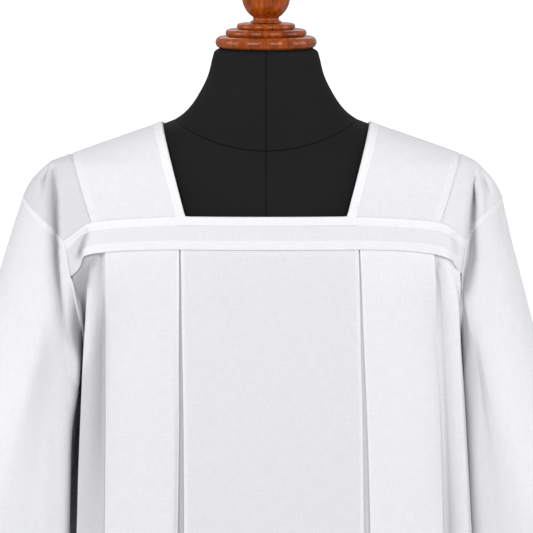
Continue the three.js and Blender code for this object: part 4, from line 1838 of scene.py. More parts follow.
    def _pleated(self, side: Side, stop: Stop, drop: float) -> Vector:
        """Return a point of the pleats.

        Args:
            side: Which half of the skirt.
            stop: The column.
            drop: How far it lies from the band (0) to the hem (1).

        Returns:
            The point, in millimetres.
        """
        fold = self.folds[stop.run] if stop.run < len(self.folds) else self.run_end
        before = self.folds[stop.run - 1] if stop.run else None
        band_start = before.band if before else 0.0
        shift = self.sections.at(self.yoke.band_bottom(0)).shift
        along = mix(band_start, fold.band, stop.share)
        top = self.yoke.edge(self.facing)(shift + side.value * along) - SEAM
        height = mix(top, self.hem_height, drop)
        below = top - height
        s = self.sections.at(height)
        layer = max(1.6, s.layer * self.pressed)
        radius = min(0.48 * layer, mix(0.8, 3.4, ease(below / 1500)))
        start = self._at(before, height) - before.way * radius if before else 0.0
        end = self._at(fold, height) - (fold.way * radius if stop.run < len(self.folds) else 0.0)
        across = mix(start, end, stop.share)
        set_in = self._depth(stop.run, across, height, layer, radius)
        if stop.turn:
            after = self._depth(stop.run + 1, across, height, layer, radius)
            angle = math.pi * stop.turn
            across += fold.way * radius * math.sin(angle)
            set_in = mix(set_in, after, (1 - math.cos(angle)) / 2)
        p = self._on(s, side, across, set_in)
        held = self.yoke.sections.at(height).depth(self.facing, p.x) + self.facing * (CLOTH / 2 - set_in)
        p.y = mix(held, p.y, ease(drop / self.front_blend))
        p.y -= self.facing * 0.9 * (1 - ease(below / 6))
        return p

    def _flank(self, side: Side, flank: Flank, drop: float) -> Vector:
        """Return a point of the plain cloth beside the pleats.

        Args:
            side: Which half of the skirt.
            flank: The line it lies on.
            drop: How far it lies from the band (0) to the hem (1).

        Returns:
            The point, in millimetres.
        """
        corner = self.corners[side]
        line = self.flanks.index(flank)
        share_out, share_deep = corner.steps[line]
        if flank.armhole is None:
            along = corner.seams[line]
            seam = self.yoke.on(along, self.yoke.edge(self.facing)(side.value * along), self.facing)
        else:
            seam = self.armholes[side].lower(flank.armhole, self.facing)
        seam = Vector((seam.x * side.value, seam.y, seam.z - 2 * SEAM))
        height = mix(seam.z, self.hem_height, drop)
        s = self.sections.at(height)
        low = self._on(s, side, 0.0, flank.layer * s.layer * self.pressed, flank.turn)
        out = mix(corner.ridge(height), corner.reach(height), share_out)
        deep = (s.front if self.facing < 0 else s.back) * share_deep
        high = Vector((out * side.value, self.facing * deep, height))
        p = low.lerp(high, ease((height - self.corner_low) / self.corner_grow))
        p = seam.lerp(p, ease(drop / (flank.hurry * corner.haste)))
        p.z = height
        if flank.armhole is None or flank.armhole < 0.5:
            p.y -= self.facing * (TUCK + CLOTH / 2) * (1 - ease((seam.z - height) / 7))
        if flank.armhole == 1.0:
            p.y = self.facing * (SEAM + CLOTH) / 2
        return p

    def place(self, column: float, drop: float) -> Vector:
        """Return a point of the middle of the cloth.

        Args:
            column: Which column it lies in.
            drop: How far it lies from the band (0) to the hem (1).

        Returns:
            The point, in millimetres.
        """
        side, stop = self.stops[int(column)]
        if stop.run < len(self.layers):
            return self.yoke.settled(self._pleated(side, stop, drop))
        i = min(len(self.flanks) - 1, int(stop.share))
        keys = []
        for k in range(i - 2, i + 2):
            if k < 0:
                keys.append(self._pleated(side, Stop(len(self.layers) - 1, 1.0 + 0.6 * (k + 1)), drop))
            else:
                keys.append(self._flank(side, self.flanks[min(k, len(self.flanks) - 1)], drop))
        t = stop.share - i
        a, b, c, d = keys
        p = (
            b * 2
            + (c - a) * t
            + (a * 2 - b * 5 + c * 4 - d) * t**2
            + (b * 3 - a - c * 3 + d) * t**3
        ) * 0.5
        return self.yoke.settled(p)

    def relief(self, column: float, drop: float, p: Vector) -> float:
        """Return how far creases and the turned hem move the cloth off its middle surface.

        Args:
            column: Which column it lies in.
            drop: How far it lies from the band (0) to the hem (1).
            p: The place, in millimetres.

        Returns:
            The distance, in millimetres.
        """
        stop = self.stops[int(column)][1]
        lift = 0.25 * ease((self.length * drop - (self.length - self.hem)) / 1.2)
        if stop.run >= BEHIND or (stop.run in (MIDDLE, PANEL) and not stop.turn):
            lift += lifted(self.creases, p)
        return lift

    def doubling_and_painted_light(self, column: float, drop: float, p: Vector) -> float:
        """Return how far the cloth is double, over a pleat, at a fold and in the turned hem, with painted
        light and shade.

        Args:
            column: Which column it lies in.
            drop: How far it lies from the band (0) to the hem (1).
            p: The place, in millimetres.

        Returns:
            1 where it is double, and below 0 where shade is painted.
        """
        side, stop = self.stops[int(column)]
        hem = ease((self.length * drop - (self.length - self.hem)) / 0.8)
        if stop.turn:
            return 1.0
        # beside the pleats the tone is painted light and shade: painted shade in the creases, lighter high
        # up on the wearer's left, and on the right a painted shadow under the band's end, a lighter strip
        # below it and darker further down
        if stop.run >= BESIDE:
            shade = 0.065 * max(0.0, -lifted(self.creases, p))
            if side is Side.LEFT:
                return mix(mix(0.75, 0.32, ease(drop / 0.35)) - 2.4 * shade, 0.8, hem)
            lit = mix(0.15, -0.33, ease((drop - 0.03) / 0.06)) - shade
            under = mix(mix(-0.72, 0.6, ease((drop - 0.02) / 0.025)), -0.33, ease((drop - 0.07) / 0.05))
            return mix(mix(lit, under, ease((stop.share - 0.6) / 0.6)), 0.8, hem)
        if stop.run == MIDDLE:
            edge = 1 - ease((1 - stop.share) * self.centre_half / 2.5)
            return max(0.0, 0.8 * edge, 0.8 * hem)
        # inside the pleat the layers count as double on the wearer's left, and get painted shade on the
        # right
        if stop.run < PANEL:
            return 0.9 if side is Side.LEFT else mix(-0.2, 0.8, hem)
        # the panel over the pleat's layers: painted lighter on the wearer's left, and on the right painted
        # shade beside its inner fold lower down
        if stop.run == PANEL:
            near = min(stop.share, 1 - stop.share) * self.pleat_width
            if side is Side.LEFT:
                return max(0.6, 1 - ease(near / 2.5), 0.8 * hem)
            darker = ease((drop - 0.03) / 0.15) * (1 - ease(stop.share * self.pleat_width / 7)) * (1 - hem)
            return mix(max(0.35, 1 - ease(near / 2.5), 0.8 * hem), -0.45, 0.85 * darker)
        return max(0.3, 0.8 * hem)

    def cloth(self) -> Cloth:
        """Return the skirt's cut piece, ready to be made.

        Returns:
            The cloth.
        """
        near_band = [-self.tucked, -0.002, 0.0, 0.0012, 0.0028, 0.0048, 0.007, 0.0095]
        start, rows = near_band[-1], 96
        below = [start + (1 - start) * (i / rows) ** 1.25 for i in range(1, rows + 1)]
        down = with_edges(near_band + below, (1 - self.hem / self.length,), 0.001)
        columns = [float(i) for i in range(len(self.stops))]
        node = "front_skirt" if self.facing < 0 else "back_skirt"
        return Cloth(node, columns, down, self.place, self.relief, self.doubling_and_painted_light, self.facing, offset=0)

    def made(self, wardrobe: Wardrobe) -> Piece:
        """Make the skirt, with the row of stitches that holds its hem.

        Args:
            wardrobe: The finishes.

        Returns:
            The piece.
        """
        cloth = self.cloth()
        row = cloth.row(1 - (self.hem - HEM_INSET) / self.length, CLOTH / 2 + THREAD_LIFT)
        return cloth.sewn(wardrobe, CUTS[cloth.node], thread=f"{cloth.node}_stitches", rows=[row])


# ---- The garment ------------------------------------------------------------------------------


def stripe(away: float, width: float) -> float:
    """Return 1 on a double stripe along an edge and 0 beyond it, at a distance from the edge."""
    return 1 - ease((away - width + 0.5) / 1.0)


def rolled(away: float, reach: float) -> float:
    """Return how far an edge has rolled over, from 1 at the edge to 0 at its reach."""
    return 1 - ease(away / reach)


@dataclass
class Bodice:
    """The yoke's cut pieces: straps, shoulder panels, bands, the back piece and the neck binding."""

    yoke: Yoke
    wardrobe: Wardrobe
    panel_creases: dict[Side, tuple[Crease, ...]]
    band_creases: tuple[Crease, ...]
    allowance: float = 9.5
    foot_allowance: float = 10.5
    strap_width: float = 105.5
    strap_length: float = 118
    panel_width: float = 46
    band_height: float = 37
    band_kink: float = 203
    binding: float = 9.5
    binding_press: float = 6
    back_half: float = 100
    back_height: float = 64

    def _sunk(self, down: float) -> float:
        """Return how far a strap or panel sinks under a band, at a place on the way over the shoulder."""
        return TUCK * (1 - ease((self.strap_length * (1 - abs(down)) + 2.5) / 4))

    @staticmethod
    def _downs() -> list[float]:
        """Return the rows over the shoulder, a little past each band and close together there."""
        ends = [1.04, 1.015, 1.0, 0.993, 0.985, 0.975, 0.96]
        return sorted({*spread(-0.94, 0.94, 76), *ends, *(-e for e in ends)})

    def strap(self, side: Side) -> Piece:
        """Make a strap, from the back band over the shoulder to the front band.

        Args:
            side: Which strap.

        Returns:
            The piece.
        """

        def relief(u: float, down: float, p: Vector) -> float:
            """Sink under the bands, lift over the outer seam, and roll at that seam."""
            seam = (1 - u) * self.strap_width
            return CLOTH + 0.12 * stripe(seam, self.allowance) - 0.15 * rolled(seam, 0.6) - self._sunk(down)

        def doubling_and_painted_light(u: float, down: float, p: Vector) -> float:
            """Show the outer seam's allowance brighter."""
            seam = (1 - u) * self.strap_width
            return max(SINGLE, 0.4 * stripe(seam, self.allowance), 0.8 * rolled(seam, 1.4))

        node = f"yoke_strap_{side.word}"
        across = with_edges(spread(0, 1, 34), (1 - self.allowance / self.strap_width,), 0.01)
        across = sorted({*across, 0.986, 0.993})
        place = partial(self.yoke.strap, side)
        cloth = Cloth(node, across, self._downs(), place, relief, doubling_and_painted_light, -side.value)
        return cloth.sewn(self.wardrobe, CUTS["yoke_strap"])

    def panel(self, side: Side) -> Piece:
        """Make a panel between a strap and its armhole.

        Args:
            side: Which panel.

        Returns:
            The piece.
        """
        creases, width = self.panel_creases[side], self.panel_width
        # the panel's tone, painted darker on the wearer's right, and the strength of the shade painted in
        # its folds, which fades in below a height
        single, deep = (-0.2, 0.4) if side is Side.RIGHT else (0.05, 0.45)
        fold_top, fold_grow = 1445, 80

        def relief(u: float, down: float, p: Vector) -> float:
            """Sink under the bands, the strap and the sleeve's edge."""
            beside, under = 1.4 * rolled(u * width - 0.3, 1.1), rolled((1 - u) * width + 0.3, 2.0)
            return CLOTH - max(self._sunk(down), beside, under) + lifted(creases, p)

        def doubling_and_painted_light(u: float, down: float, p: Vector) -> float:
            """Show the panel as one plain layer, with painted shade in its folds."""
            return single - deep * self.yoke.shade(p) * ease((fold_top - p.z) / fold_grow)

        node = f"shoulder_panel_{side.word}"
        across = sorted({-0.09, -0.04, *spread(0, 1, 36), 0.012, 0.04, 1.03, 1.07})
        place = partial(self.yoke.panel, side)
        cloth = Cloth(node, across, self._downs(), place, relief, doubling_and_painted_light, -side.value)
        on = (f"yoke_strap_{side.word}", f"sleeve_{side.word}")
        return cloth.sewn(self.wardrobe, CUTS["shoulder_panel"], on)

    def band(self, facing: int) -> Piece:
        """Make a band, with its row of stitches beside the upper edge.

        Args:
            facing: -1 for the front band and 1 for the back one.

        Returns:
            The piece.
        """
        height = self.band_height

        def relief(s: float, t: float, p: Vector) -> float:
            """Lift the turned edges, and roll them over at the seams.

            Args:
                s: The place along it, from -1 to 1.
                t: The share down it.
                p: The place, in millimetres.

            Returns:
                How far it stands off the surface.
            """
            top, foot = t * height, (1 - t) * height
            lift = 0.1 * max(stripe(top, self.allowance), stripe(foot, self.foot_allowance))
            roll = 0.3 * rolled(top, 0.9) + 0.15 * rolled(foot, 0.8)
            under = rolled((1 - abs(s)) * self.yoke.panel_front, 2.0)
            return CLOTH + 0.2 + lift - roll - under + lifted(self.band_creases, p)

        def doubling_and_painted_light(s: float, t: float, p: Vector) -> float:
            """Show the turned edges brighter, with painted shade in the kinks near the ends and over the
            ends past them.

            Args:
                s: The place along it, from -1 to 1.
                t: The share down it.
                p: The place, in millimetres.

            Returns:
                How far it is double, less the painted shade.
            """
            # painted shade past the kinks and in the kinks' creases, stronger on the wearer's right
            near_end = ease((abs(p.x) - self.band_kink) / 8)
            top = stripe(t * height, self.allowance) - 0.3 * near_end
            foot = 0.75 * stripe((1 - t) * height, self.foot_allowance) - 0.6 * near_end
            sunk = max(0.0, -lifted(self.band_creases, p))
            shade, end_shade = (0.3, 0.3) if p.x < 0 else (0.12, 0.1)
            return max(0.1, max(top, foot)) - shade * sunk - end_shade * near_end

        word = "front" if facing < 0 else "back"
        edges = (self.allowance / height, 1 - self.foot_allowance / height)
        down = sorted({*with_edges(spread(0, 1, 18), edges, 0.028), 0.018, 0.982})
        ends = spread(0.87, 1.012, 24)
        along = sorted({*spread(-0.86, 0.86, 96), *ends, *(-v for v in ends)})
        place = partial(self.yoke.band, facing)
        cloth = Cloth(f"{word}_yoke_band", along, down, place, relief, doubling_and_painted_light, facing)
        edge = cloth.row(0.055, THREAD_LIFT)
        rows = [[p for p in edge if p.x * way > self.yoke.neck_front_half] for way in (-1, 1)]
        return cloth.sewn(self.wardrobe, CUTS[cloth.node], thread=f"{word}_band_stitches", rows=rows)

    def back_piece(self) -> Piece:
        """Make the piece between the straps at the back.

        Returns:
            The piece.
        """
        yoke = self.yoke
        top, foot = yoke.neck_back_height, yoke.band_top(0)

        def place(s: float, t: float) -> Vector:
            """Return a point of it, from side to side and from the neckline down."""
            height = mix(top, foot + SEAM, t)
            return yoke.on(s * (yoke.neck_half(height) - SEAM), height, 1)

        def relief(s: float, t: float, p: Vector) -> float:
            """Sink under the straps and under the band."""
            beside, below = (1 - abs(s)) * self.back_half, (1 - t) * self.back_height
            return CLOTH - TUCK * (1 - min(ease(beside / 3), ease((below + 0.5) / 4)))

        ends = (0.975, 0.99, 1.01, 1.04)
        across = sorted({*spread(-0.96, 0.96, 46), *ends, *(-v for v in ends)})
        down = sorted({*spread(0, 0.92, 24), 0.94, 0.96, 0.98, 0.995, 1.02, 1.06})
        return Cloth("back_yoke", across, down, place, relief).sewn(self.wardrobe, CUTS["back_yoke"])

    def _neck_columns(self) -> list[tuple[Vector, Vector]]:
        """Return pairs of points on the neckline and on the binding's outer edge, all round the neck.

        Returns:
            The pairs, in order round the neck.
        """
        yoke, wide = self.yoke, self.binding
        low, half = yoke.band_top(0), yoke.neck_front_half
        back, back_half = yoke.neck_back_height, yoke.neck_half(yoke.neck_back_height)
        share = wide / (yoke.strap_front - half)
        ridge, band = mix(yoke.ridge_neck, yoke.ridge_strap, share), mix(half, yoke.strap_front, share)
        corner = yoke.on(half + wide, low - wide, -1)
        front = [
            (yoke.on(s * half, low, -1), yoke.on(s * (half + wide), low - wide, -1))
            for s in spread(-1, 1, 40)[1:-1]
        ]
        side = [
            (
                yoke.over_shoulder(yoke.ridge_neck, half, down),
                corner if down == 1.0 else yoke.over_shoulder(ridge, band, down),
            )
            for down in (1.0, *spread(0.965, -0.48, 44), -0.52)
        ]
        behind_neck = [
            (yoke.on(s * back_half, back, 1), yoke.on(s * (back_half + wide * 0.6), back - wide, 1))
            for s in spread(1, -1, 40)
        ]
        other = [(Side.RIGHT.of(edge), Side.RIGHT.of(outer)) for edge, outer in side[::-1]]
        return [*front, *side, *behind_neck, *other, front[0]]

    def neck_binding(self) -> Piece:
        """Make the folded strip round the neck, with its mitred corners and rolled inner edge.

        Returns:
            The piece.
        """
        pairs, width = self._neck_columns(), self.binding

        def place(column: float, t: float) -> Vector:
            """Return a point of it, from its outer edge (0) to the neckline (1) and a little past it."""
            edge, outer = pairs[int(column)]
            return outer.lerp(edge, t)

        def pressed(t: float) -> float:
            """Return how near a place is to the line where the raw edges end inside it."""
            return bell((1 - t) * width, self.binding_press, 0.4)

        def relief(column: float, t: float, p: Vector) -> float:
            """Round both edges, and press the line between them."""
            rise, fall = 0.35 * ease((t * width + 0.1) / 0.7), 1.8 * rolled((1 - t) * width + 1.0, 1.5)
            return CLOTH + 0.3 + rise - fall - 0.12 * pressed(t)

        def doubling_and_painted_light(column: float, t: float, p: Vector) -> float:
            """Show the folded strip bright, and a little less along its pressed line."""
            return 1.0 - 0.2 * pressed(t)

        columns = [float(i) for i in range(len(pairs))]
        down = [0.0, 0.05, 0.1, 0.16, 0.26, 0.38, 0.46, 0.5, 0.54, 0.58, 0.62, 0.72, 0.84, 0.92, 0.97]
        down += [1.02, 1.06, 1.1]
        cloth = Cloth("neck_binding", columns, down, place, relief, doubling_and_painted_light, closed=True, thickness=0.8)
        return cloth.sewn(self.wardrobe, CUTS["neck_binding"])


# ---- The dress form ---------------------------------------------------------------------------


@dataclass
class DressForm:
    """The limbless form: its covered body, and the turned pieces above and below it."""

    wardrobe: Wardrobe
    bottom: float = 800
    neck_top: float = 1565
    cap_height: float = 29.5
    socket_depth: float = 26
    pole_radius: float = 16
    base_radius: float = 195
    base_top: float = 34
    ball_radius: float = 27.5
    ball_height: float = 1624
    sections: Sections = Sections(
        Section(800, 150, 84, 84, 2.2),
        Section(806, 162, 93, 94, 2.25),
        Section(840, 170, 100, 102, 2.3),
        Section(930, 174, 104, 106, 2.3),
        Section(1030, 162, 97, 94, 2.3),
        Section(1130, 152, 95, 86, 2.3),
        Section(1230, 168, 100, 90, 2.35),
        Section(1300, 180, 104, 96, 2.4),
        Section(1350, 194, 104, 97, 2.35),
        Section(1390, 208, 100.5, 95.5, 2.2),
        Section(1418, 215, 93, 93, 2.05),
        Section(1434, 214, 87, 90, 1.92),
        Section(1446, 206, 82.5, 87, 1.84),
        Section(1456, 184.8, 79.2, 84.2, 1.79),
        Section(1468, 150.4, 75.6, 81.1, 1.77),
        Section(1478, 120, 72.5, 78, 1.79),
        Section(1484, 104, 70, 75, 1.88),
        Section(1496, 89, 67.5, 71.5, 1.96),
        Section(1514, 76.5, 64.5, 67, 2),
        Section(1536, 66, 61, 62, 2),
        Section(1556, 61, 59.5, 60, 2),
        Section(1562, 59, 57.5, 58, 2),
        Section(1565, 54, 53, 53, 2),
    )

    def torso(self) -> Piece:
        """Make the jersey-covered body as one smooth closed shape.

        Returns:
            The piece.
        """
        rings = [800, 801.5, 803.5, *spread(806, 1400, 44), *spread(1408, 1552, 40), *spread(1556, 1565, 6)]
        turns = spread(0, 2 * math.pi, 120)
        bm = bmesh.new()
        bmesh.ops.create_grid(bm, x_segments=len(turns) - 1, y_segments=len(rings) - 1, size=1)
        for vert in bm.verts:
            angle = turns[round((vert.co.x + 1) / 2 * (len(turns) - 1))]
            height = rings[round((vert.co.y + 1) / 2 * (len(rings) - 1))]
            s = self.sections.at(height)
            c, d = math.cos(angle), math.sin(angle)
            x = s.half_width * math.copysign(abs(c) ** (2 / s.square), c)
            y = (s.front if d < 0 else s.back) * math.copysign(abs(d) ** (2 / s.square), d)
            vert.co = Vector((x, y, height)) * MM
        bmesh.ops.remove_doubles(bm, verts=bm.verts[:], dist=MERGE)
        bmesh.ops.holes_fill(bm, edges=[edge for edge in bm.edges if edge.is_boundary], sides=0)
        bmesh.ops.recalc_face_normals(bm, faces=bm.faces[:])
        flat = [face for face in bm.faces if len(face.verts) > 4]
        bmesh.ops.inset_region(bm, faces=flat, thickness=0.6 * MM, use_boundary=True)
        made = finished("form_torso_jersey", bm, self.wardrobe.jersey, Slot.COVER)
        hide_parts("form_torso")
        return made

    def _turned(self, node: str, profile: Spots, steps: int, slot: Slot = Slot.WOOD) -> Piece:
        """Turn a piece on the stand's axis.

        Args:
            node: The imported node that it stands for.
            profile: Its outline as (radius, height), from the axis back to the axis.
            steps: How many steps it is turned in.
            slot: The record's slot for its finish.

        Returns:
            The piece.
        """
        bm = bmesh.new()
        verts = [bm.verts.new((radius * MM, 0, height * MM)) for radius, height in profile]
        edges = [bm.edges.new(pair) for pair in zip(verts, verts[1:])]
        bmesh.ops.spin(
            bm,
            geom=verts + edges,
            cent=(0, 0, 0),
            axis=(0, 0, 1),
            angle=2 * math.pi,
            steps=steps,
            use_merge=True,
        )
        bmesh.ops.remove_doubles(bm, verts=bm.verts[:], dist=MERGE)
        bmesh.ops.recalc_face_normals(bm, faces=bm.faces[:])
        steel = slot is Slot.METAL
        material = self.wardrobe.steel if steel else self.wardrobe.wood
        made = finished(f"{node}_{'steel' if steel else 'wood'}", bm, material, slot)
        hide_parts(node)
        return made

    @staticmethod
    def _arc(centre: float, middle: float, radius: float, low: float, high: float, steps: int = 14) -> Spots:
        """Return a round stretch of an outline.

        Args:
            centre: How far from the stand's axis its centre lies.
            middle: The height of its centre.
            radius: Its radius.
            low: The angle where it starts, from level.
            high: The angle where it ends.
            steps: How many steps it has.

        Returns:
            Its points as (radius, height).
        """
        angles = [math.radians(a) for a in spread(low, high, steps)]
        return [(centre + radius * math.cos(a), middle + radius * math.sin(a)) for a in angles]

    def _rim(self, radius: float, middle: float, half: float, low: float, high: float) -> Spots:
        """Return a rounded edge of a turned piece, by its outer radius, its middle and its half height."""
        return self._arc(radius - half, middle, half, low, high)

    def cap(self) -> Piece:
        """Turn the neck cap, three rounded rings one on the other.

        Returns:
            The piece.
        """
        top = self.neck_top
        profile = [(0, top + SEAM), (44, top + SEAM)]
        profile += self._rim(58, top + 7.3, 6.9, -86, 86)
        profile += [(49.6, top + 14.4), (45.0, top + 13.6)]
        profile += self._rim(46.5, top + 17.8, 4.5, -70, 86)
        profile += [(38.4, top + 22.4), (32.4, top + 21.4)]
        profile += self._rim(33.5, top + 25.2, 3.9, -70, 88)
        profile += [(16, top + 29.4), (0, top + self.cap_height)]
        return self._turned("form_neck_cap", profile, 96)

    def finial(self) -> Piece:
        """Turn the ball on its short post.

        Returns:
            The piece.
        """
        foot = self.neck_top + self.cap_height + SEAM
        profile = [(0, foot), (17.4, foot), (18.0, foot + 0.6), (17.6, foot + 1.4), (15.9, foot + 2.2)]
        profile += [(15.0, foot + 3.2), (14.6, foot + 4.2)]
        profile += self._arc(0, self.ball_height, self.ball_radius, -57, 86, 32)
        profile.append((0, self.ball_height + self.ball_radius))
        return self._turned("form_finial", profile, 96)

    def socket(self) -> Piece:
        """Turn the socket under the body.

        Returns:
            The piece.
        """
        top, foot = self.bottom - SEAM, self.bottom - self.socket_depth
        profile = [(0, foot), (24.5, foot), *self._rim(27.5, foot + 2.2, 2.0, -80, 10), (30.2, foot + 6)]
        profile += [(31.6, foot + 10), (34.6, foot + 15), (37.4, foot + 18)]
        profile += [*self._rim(40, top - 3, 2.8, -60, 84), (0, top)]
        return self._turned("form_socket", profile, 64)

    def pole(self) -> Piece:
        """Turn the steel pole, with its ends eased.

        Returns:
            The piece.
        """
        top, foot = self.bottom - self.socket_depth - SEAM, self.base_top + SEAM
        r = self.pole_radius
        length = [(r, z) for z in spread(foot + 2, top - 2, 12)]
        profile = [(0, foot), (r - 1, foot), (r, foot + 1), *length, (r, top - 1), (r - 1, top), (0, top)]
        return self._turned("form_pole", profile, 48, Slot.METAL)

    def base(self) -> Piece:
        """Turn the round foot of the stand.

        Returns:
            The piece.
        """
        r = self.base_radius
        profile = [(0, 0), (r - 7, 0), *self._rim(r, 5.5, 5.0, -80, 0), *self._rim(r, 13, 6.5, 0, 62)]
        profile += [(r - 7, 20.6), (r - 12, 22.2), (r - 40, 24.0), (r - 80, 25.2)]
        profile += [(64, 26), (46, 27.4), (38, 29.2), (34, 31)]
        profile += [*self._rim(32, self.base_top - 2.2, 2.0, 0, 84), (0, self.base_top)]
        return self._turned("form_base", profile, 128)


# ---- The studio -------------------------------------------------------------------------------


@dataclass
class Studio:
    """The camera, the lights and the pale floor."""

    wardrobe: Wardrobe
    aim: tuple[float, float, float] = (0.0005, 0.0, 1.314)
    elevation: float = 6
    distance: float = 5.5
    view_width: float = 0.613
    sensor: float = 36
    light_distance: float = 3.2
    ambient: float = 0.44
    floor_radius: float = 60

    def camera(self) -> None:
        """Place the camera square before the garment and a little above it."""
        lens = bpy.data.cameras.new("camera")
        lens.sensor_width = self.sensor
        lens.lens = self.sensor * self.distance / self.view_width
        lens.clip_end = 200
        made = linked("camera", lens)
        tilt = math.radians(self.elevation)
        made.location = Vector(self.aim) + Vector((0, -math.cos(tilt), math.sin(tilt))) * self.distance
        made.rotation_euler = (math.pi / 2 - tilt, 0, 0)
        bpy.context.scene.camera = made

    def softbox(
        self, name: str, azimuth: float, elevation: float, power: float, width: float, height: float
    ) -> None:
        """Hang one large soft light that faces the garment's shoulders.

        Args:
            name: The light's name.
            azimuth: Its direction in degrees, from straight in front towards the wearer's left.
            elevation: Its direction above the level.
            power: Its power in watts.
            width: Its width in metres.
            height: Its height in metres.
        """
        lamp = bpy.data.lights.new(name, "AREA")
        lamp.shape = "RECTANGLE"
        lamp.size, lamp.size_y = width, height
        lamp.energy = power
        made = linked(name, lamp)
        turn, rise = math.radians(azimuth), math.radians(elevation)
        way = Vector((math.sin(turn) * math.cos(rise), -math.cos(turn) * math.cos(rise), math.sin(rise)))
        made.location = Vector(self.aim) + way * self.light_distance
        made.rotation_euler = way.to_track_quat("Z", "Y").to_euler()

    def lights(self) -> None:
        """Hang the lights and set the plain white surroundings."""
        self.softbox("softbox_right", -30, 23, 42.5, 1.5, 1.9)
        self.softbox("softbox_left", 24, 23, 38, 1.5, 1.9)
        self.softbox("side_right", -84, 14, 30, 2.0, 2.2)
        self.softbox("side_left", 84, 14, 34, 2.0, 2.2)
        self.softbox("softbox_back", 180, 35, 14, 2.4, 1.6)
        world = bpy.data.worlds.new("studio")
        world.use_nodes = True
        bpy.context.scene.world = world
        g = Graph(world.node_tree)
        g.tree.nodes.clear()
        seen = g.node("ShaderNodeBackground")
        seen.inputs["Color"].default_value = (1, 1, 1, 1)
        lit = g.node("ShaderNodeBackground")
        lit.inputs["Color"].default_value = (0.985, 0.99, 1.0, 1)
        lit.inputs["Strength"].default_value = self.ambient
        choice = g.node("ShaderNodeMixShader")
        g.join(g.node("ShaderNodeLightPath").outputs["Is Camera Ray"], choice.inputs[0])
        g.join(lit.outputs[0], choice.inputs[1])
        g.join(seen.outputs[0], choice.inputs[2])
        g.join(choice.outputs[0], g.node("ShaderNodeOutputWorld").inputs["Surface"])
        bpy.context.scene.view_settings.view_transform = "Standard"

    def floor(self) -> None:
        """Lay the round floor."""
        bm = bmesh.new()
        bmesh.ops.create_circle(bm, cap_ends=True, segments=96, radius=self.floor_radius)
        mesh = bpy.data.meshes.new("floor")
        bm.to_mesh(mesh)
        bm.free()
        made = linked("floor", mesh)
        mesh.materials.append(self.wardrobe.floor)


# ---- The creases, each given one by one -------------------------------------------------------

SHOULDER_FOLDS = (
    Crease(
        (
            (-246, 1441), (-241.5, 1422), (-238, 1400), (-236.5, 1360), (-236, 1335), (-234, 1300),
            (-231, 1262), (-226.5, 1225), (-224, 1190),
        ),
        -18.0, (6.0, 4.2), fade=(0.1, 0.6), skew=0.7,
    ),
    Crease(
        (
            (237, 1440), (237.5, 1415), (237, 1396), (235.5, 1378), (234.5, 1360), (234.5, 1344),
            (234, 1330), (231, 1316), (227.5, 1302), (224, 1288), (220, 1262),
        ),
        -18.0, (2.2, 10.8), fade=(0.28, 0.3), skew=0.1,
    ),
    Crease(((-244, 1446), (-252, 1421), (-256, 1390)), -10.0, (3.0, 5.0), fade=(0.15, 0.5)),
    Crease(
        ((240, 1446), (246, 1426), (250.5, 1408), (252, 1388)),
        -11.0, (2.6, 4.2), fade=(0.15, 0.4), skew=-0.4,
    ),
)

PANEL_CREASES = {
    Side.RIGHT: (
        Crease(
            ((-243.5, 1438), (-248.5, 1416), (-251.5, 1399), (-254, 1378)),
            2.6, (2.2, 4.5), fade=(0.15, 0.5),
        ),
        Crease(((-222, 1424), (-224, 1400), (-228, 1366)), 1.0, (4.0, 7.0), fade=(0.4, 0.3)),
        Crease(((-214, 1400), (-211, 1380), (-207, 1368)), -1.2, (4.0, 6.0), fade=(0.4, 0.2)),
    ),
    Side.LEFT: (
        Crease(((239.5, 1420), (243.5, 1400), (245, 1386), (243, 1368)), 2.6, (2.4, 4.5), fade=(0.15, 0.5)),
    ),
}

BAND_CREASES = (
    Crease(
        ((-201, 1368), (-206, 1354), (-211, 1338), (-215, 1326)),
        -2.6, (2.6, 4.0), fade=(0.15, 0.3), skew=-0.3,
    ),
    Crease(((212, 1362), (214, 1346), (217, 1330)), -1.8, (3.0, 4.0), fade=(0.2, 0.3)),
)

SLEEVE_CREASES = {
    Side.RIGHT: (
        Crease(((-281, 1387), (-273, 1379), (-266, 1371)), -0.9, (1.1, 1.1), fade=(0.3, 0.3)),
        Crease(((-225, 1300), (-221, 1250), (-217, 1205)), 1.0, (3.4, 4.4), fade=(0.3, 0.4)),
        Crease(
            ((-232, 1330), (-228, 1256), (-222, 1204), (-213, 1173)),
            -2.4, (2.4, 3.0), fade=(0.3, 0.1), skew=0.4,
        ),
        Crease(
            ((-258, 1332), (-250, 1296), (-246, 1220), (-241, 1150), (-240, 1008), (-246, 880)),
            -1.2, (5.0, 9.0),
        ),
        Crease(((-282, 1290), (-284, 1180), (-290, 1040), (-300, 900)), -1.6, (16, 24), fade=(0.3, 0.3)),
    ),
    Side.LEFT: (
        Crease(((264, 1400), (270.5, 1364), (284, 1320)), -1.6, (3.0, 5.0), fade=(0.3, 0.4)),
        Crease(((262, 1330), (270, 1240), (280, 1120), (292, 960)), 1.4, (12, 20), fade=(0.3, 0.3)),
        Crease(((300, 1220), (310, 1080), (320, 930)), -1.6, (14, 22), fade=(0.3, 0.3)),
    ),
}

SKIRT_CREASES = (
    Crease(((-197.5, 1338), (-197, 1300), (-196, 1262), (-197, 1200)), 2.2, (2.4, 5.0), fade=(0.05, 0.5)),
    Crease(((-188, 1342), (-187.5, 1260), (-190, 1150), (-193, 1006)), -7.0, (3.6, 7.0), fade=(0.02, 0.5)),
    Crease(((-193, 1336), (-193, 1316), (-192.5, 1296)), -1.4, (1.0, 2.0), fade=(0.05, 0.5)),
    Crease(
        ((193.5, 1338), (195, 1285), (198, 1227), (200.5, 1170), (203, 1113), (205.5, 1055), (211, 900)),
        -7.0, (3.6, 9.0), fade=(0.03, 0.3), skew=-0.6,
    ),
    Crease(((212, 1310), (216, 1240), (219, 1160), (229, 1006)), 1.6, (3.0, 5.0), fade=(0.1, 0.3)),
)


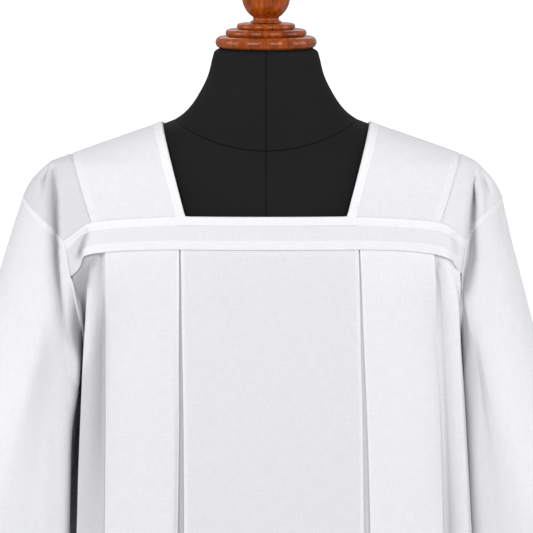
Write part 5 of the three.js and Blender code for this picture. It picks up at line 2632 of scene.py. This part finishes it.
def behind(creases: Sequence[Crease], drop: float = 9, grow: float = 0.85) -> tuple[Crease, ...]:
    """Return the creases with a similar set of them for the back, each a little further from its model.

    Args:
        creases: The front's.
        drop: How much lower the first of the back's lies.
        grow: How much longer and deeper it is.

    Returns:
        Both sets.
    """
    back = (mirrored(crease, 1, drop + 3 * i, grow + 0.04 * i) for i, crease in enumerate(creases))
    return (*creases, *back)


def with_other_side(creases: dict[Side, tuple[Crease, ...]], side: Side) -> tuple[Crease, ...]:
    """Return one side's creases, and behind them those of the other side turned to the back."""
    return (*creases[side], *(mirrored(crease, 1, 7, 0.9) for crease in creases[side.other]))


# ---- The whole --------------------------------------------------------------------------------


def form_pieces(wardrobe: Wardrobe) -> Iterator[Piece]:
    """Build the stand from the body down.

    Args:
        wardrobe: The finishes.

    Yields:
        Each piece.
    """
    form = DressForm(wardrobe)
    for build in (form.torso, form.cap, form.finial, form.socket, form.pole, form.base):
        yield build()


def cloth_pieces(wardrobe: Wardrobe) -> Iterator[Piece]:
    """Build the garment from the yoke down.

    Args:
        wardrobe: The finishes.

    Yields:
        Each piece.
    """
    yoke = Yoke(folds=behind(SHOULDER_FOLDS))
    panel_creases = {side: with_other_side(PANEL_CREASES, side) for side in Side}
    bodice = Bodice(yoke, wardrobe, panel_creases, behind(BAND_CREASES))
    yield from (bodice.strap(side) for side in Side)
    yield from (bodice.panel(side) for side in Side)
    yield from (bodice.band(facing) for facing in (-1, 1))
    yield bodice.back_piece()
    yield bodice.neck_binding()
    for side in Side:
        yield Sleeve(yoke, side, with_other_side(SLEEVE_CREASES, side)).made(wardrobe)
    for facing in (-1, 1):
        yield Skirt(yoke, facing, behind(SKIRT_CREASES)).made(wardrobe)


def main() -> None:
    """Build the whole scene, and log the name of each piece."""
    wardrobe = Wardrobe()
    studio = Studio(wardrobe)
    studio.camera()
    studio.lights()
    studio.floor()
    for piece in form_pieces(wardrobe):
        log.info("form: %s", piece.name)
    for piece in cloth_pieces(wardrobe):
        log.info("cloth: %s", piece.name)


if __name__ == "__main__":
    logging.basicConfig(level=logging.INFO, format="%(message)s")
    main()
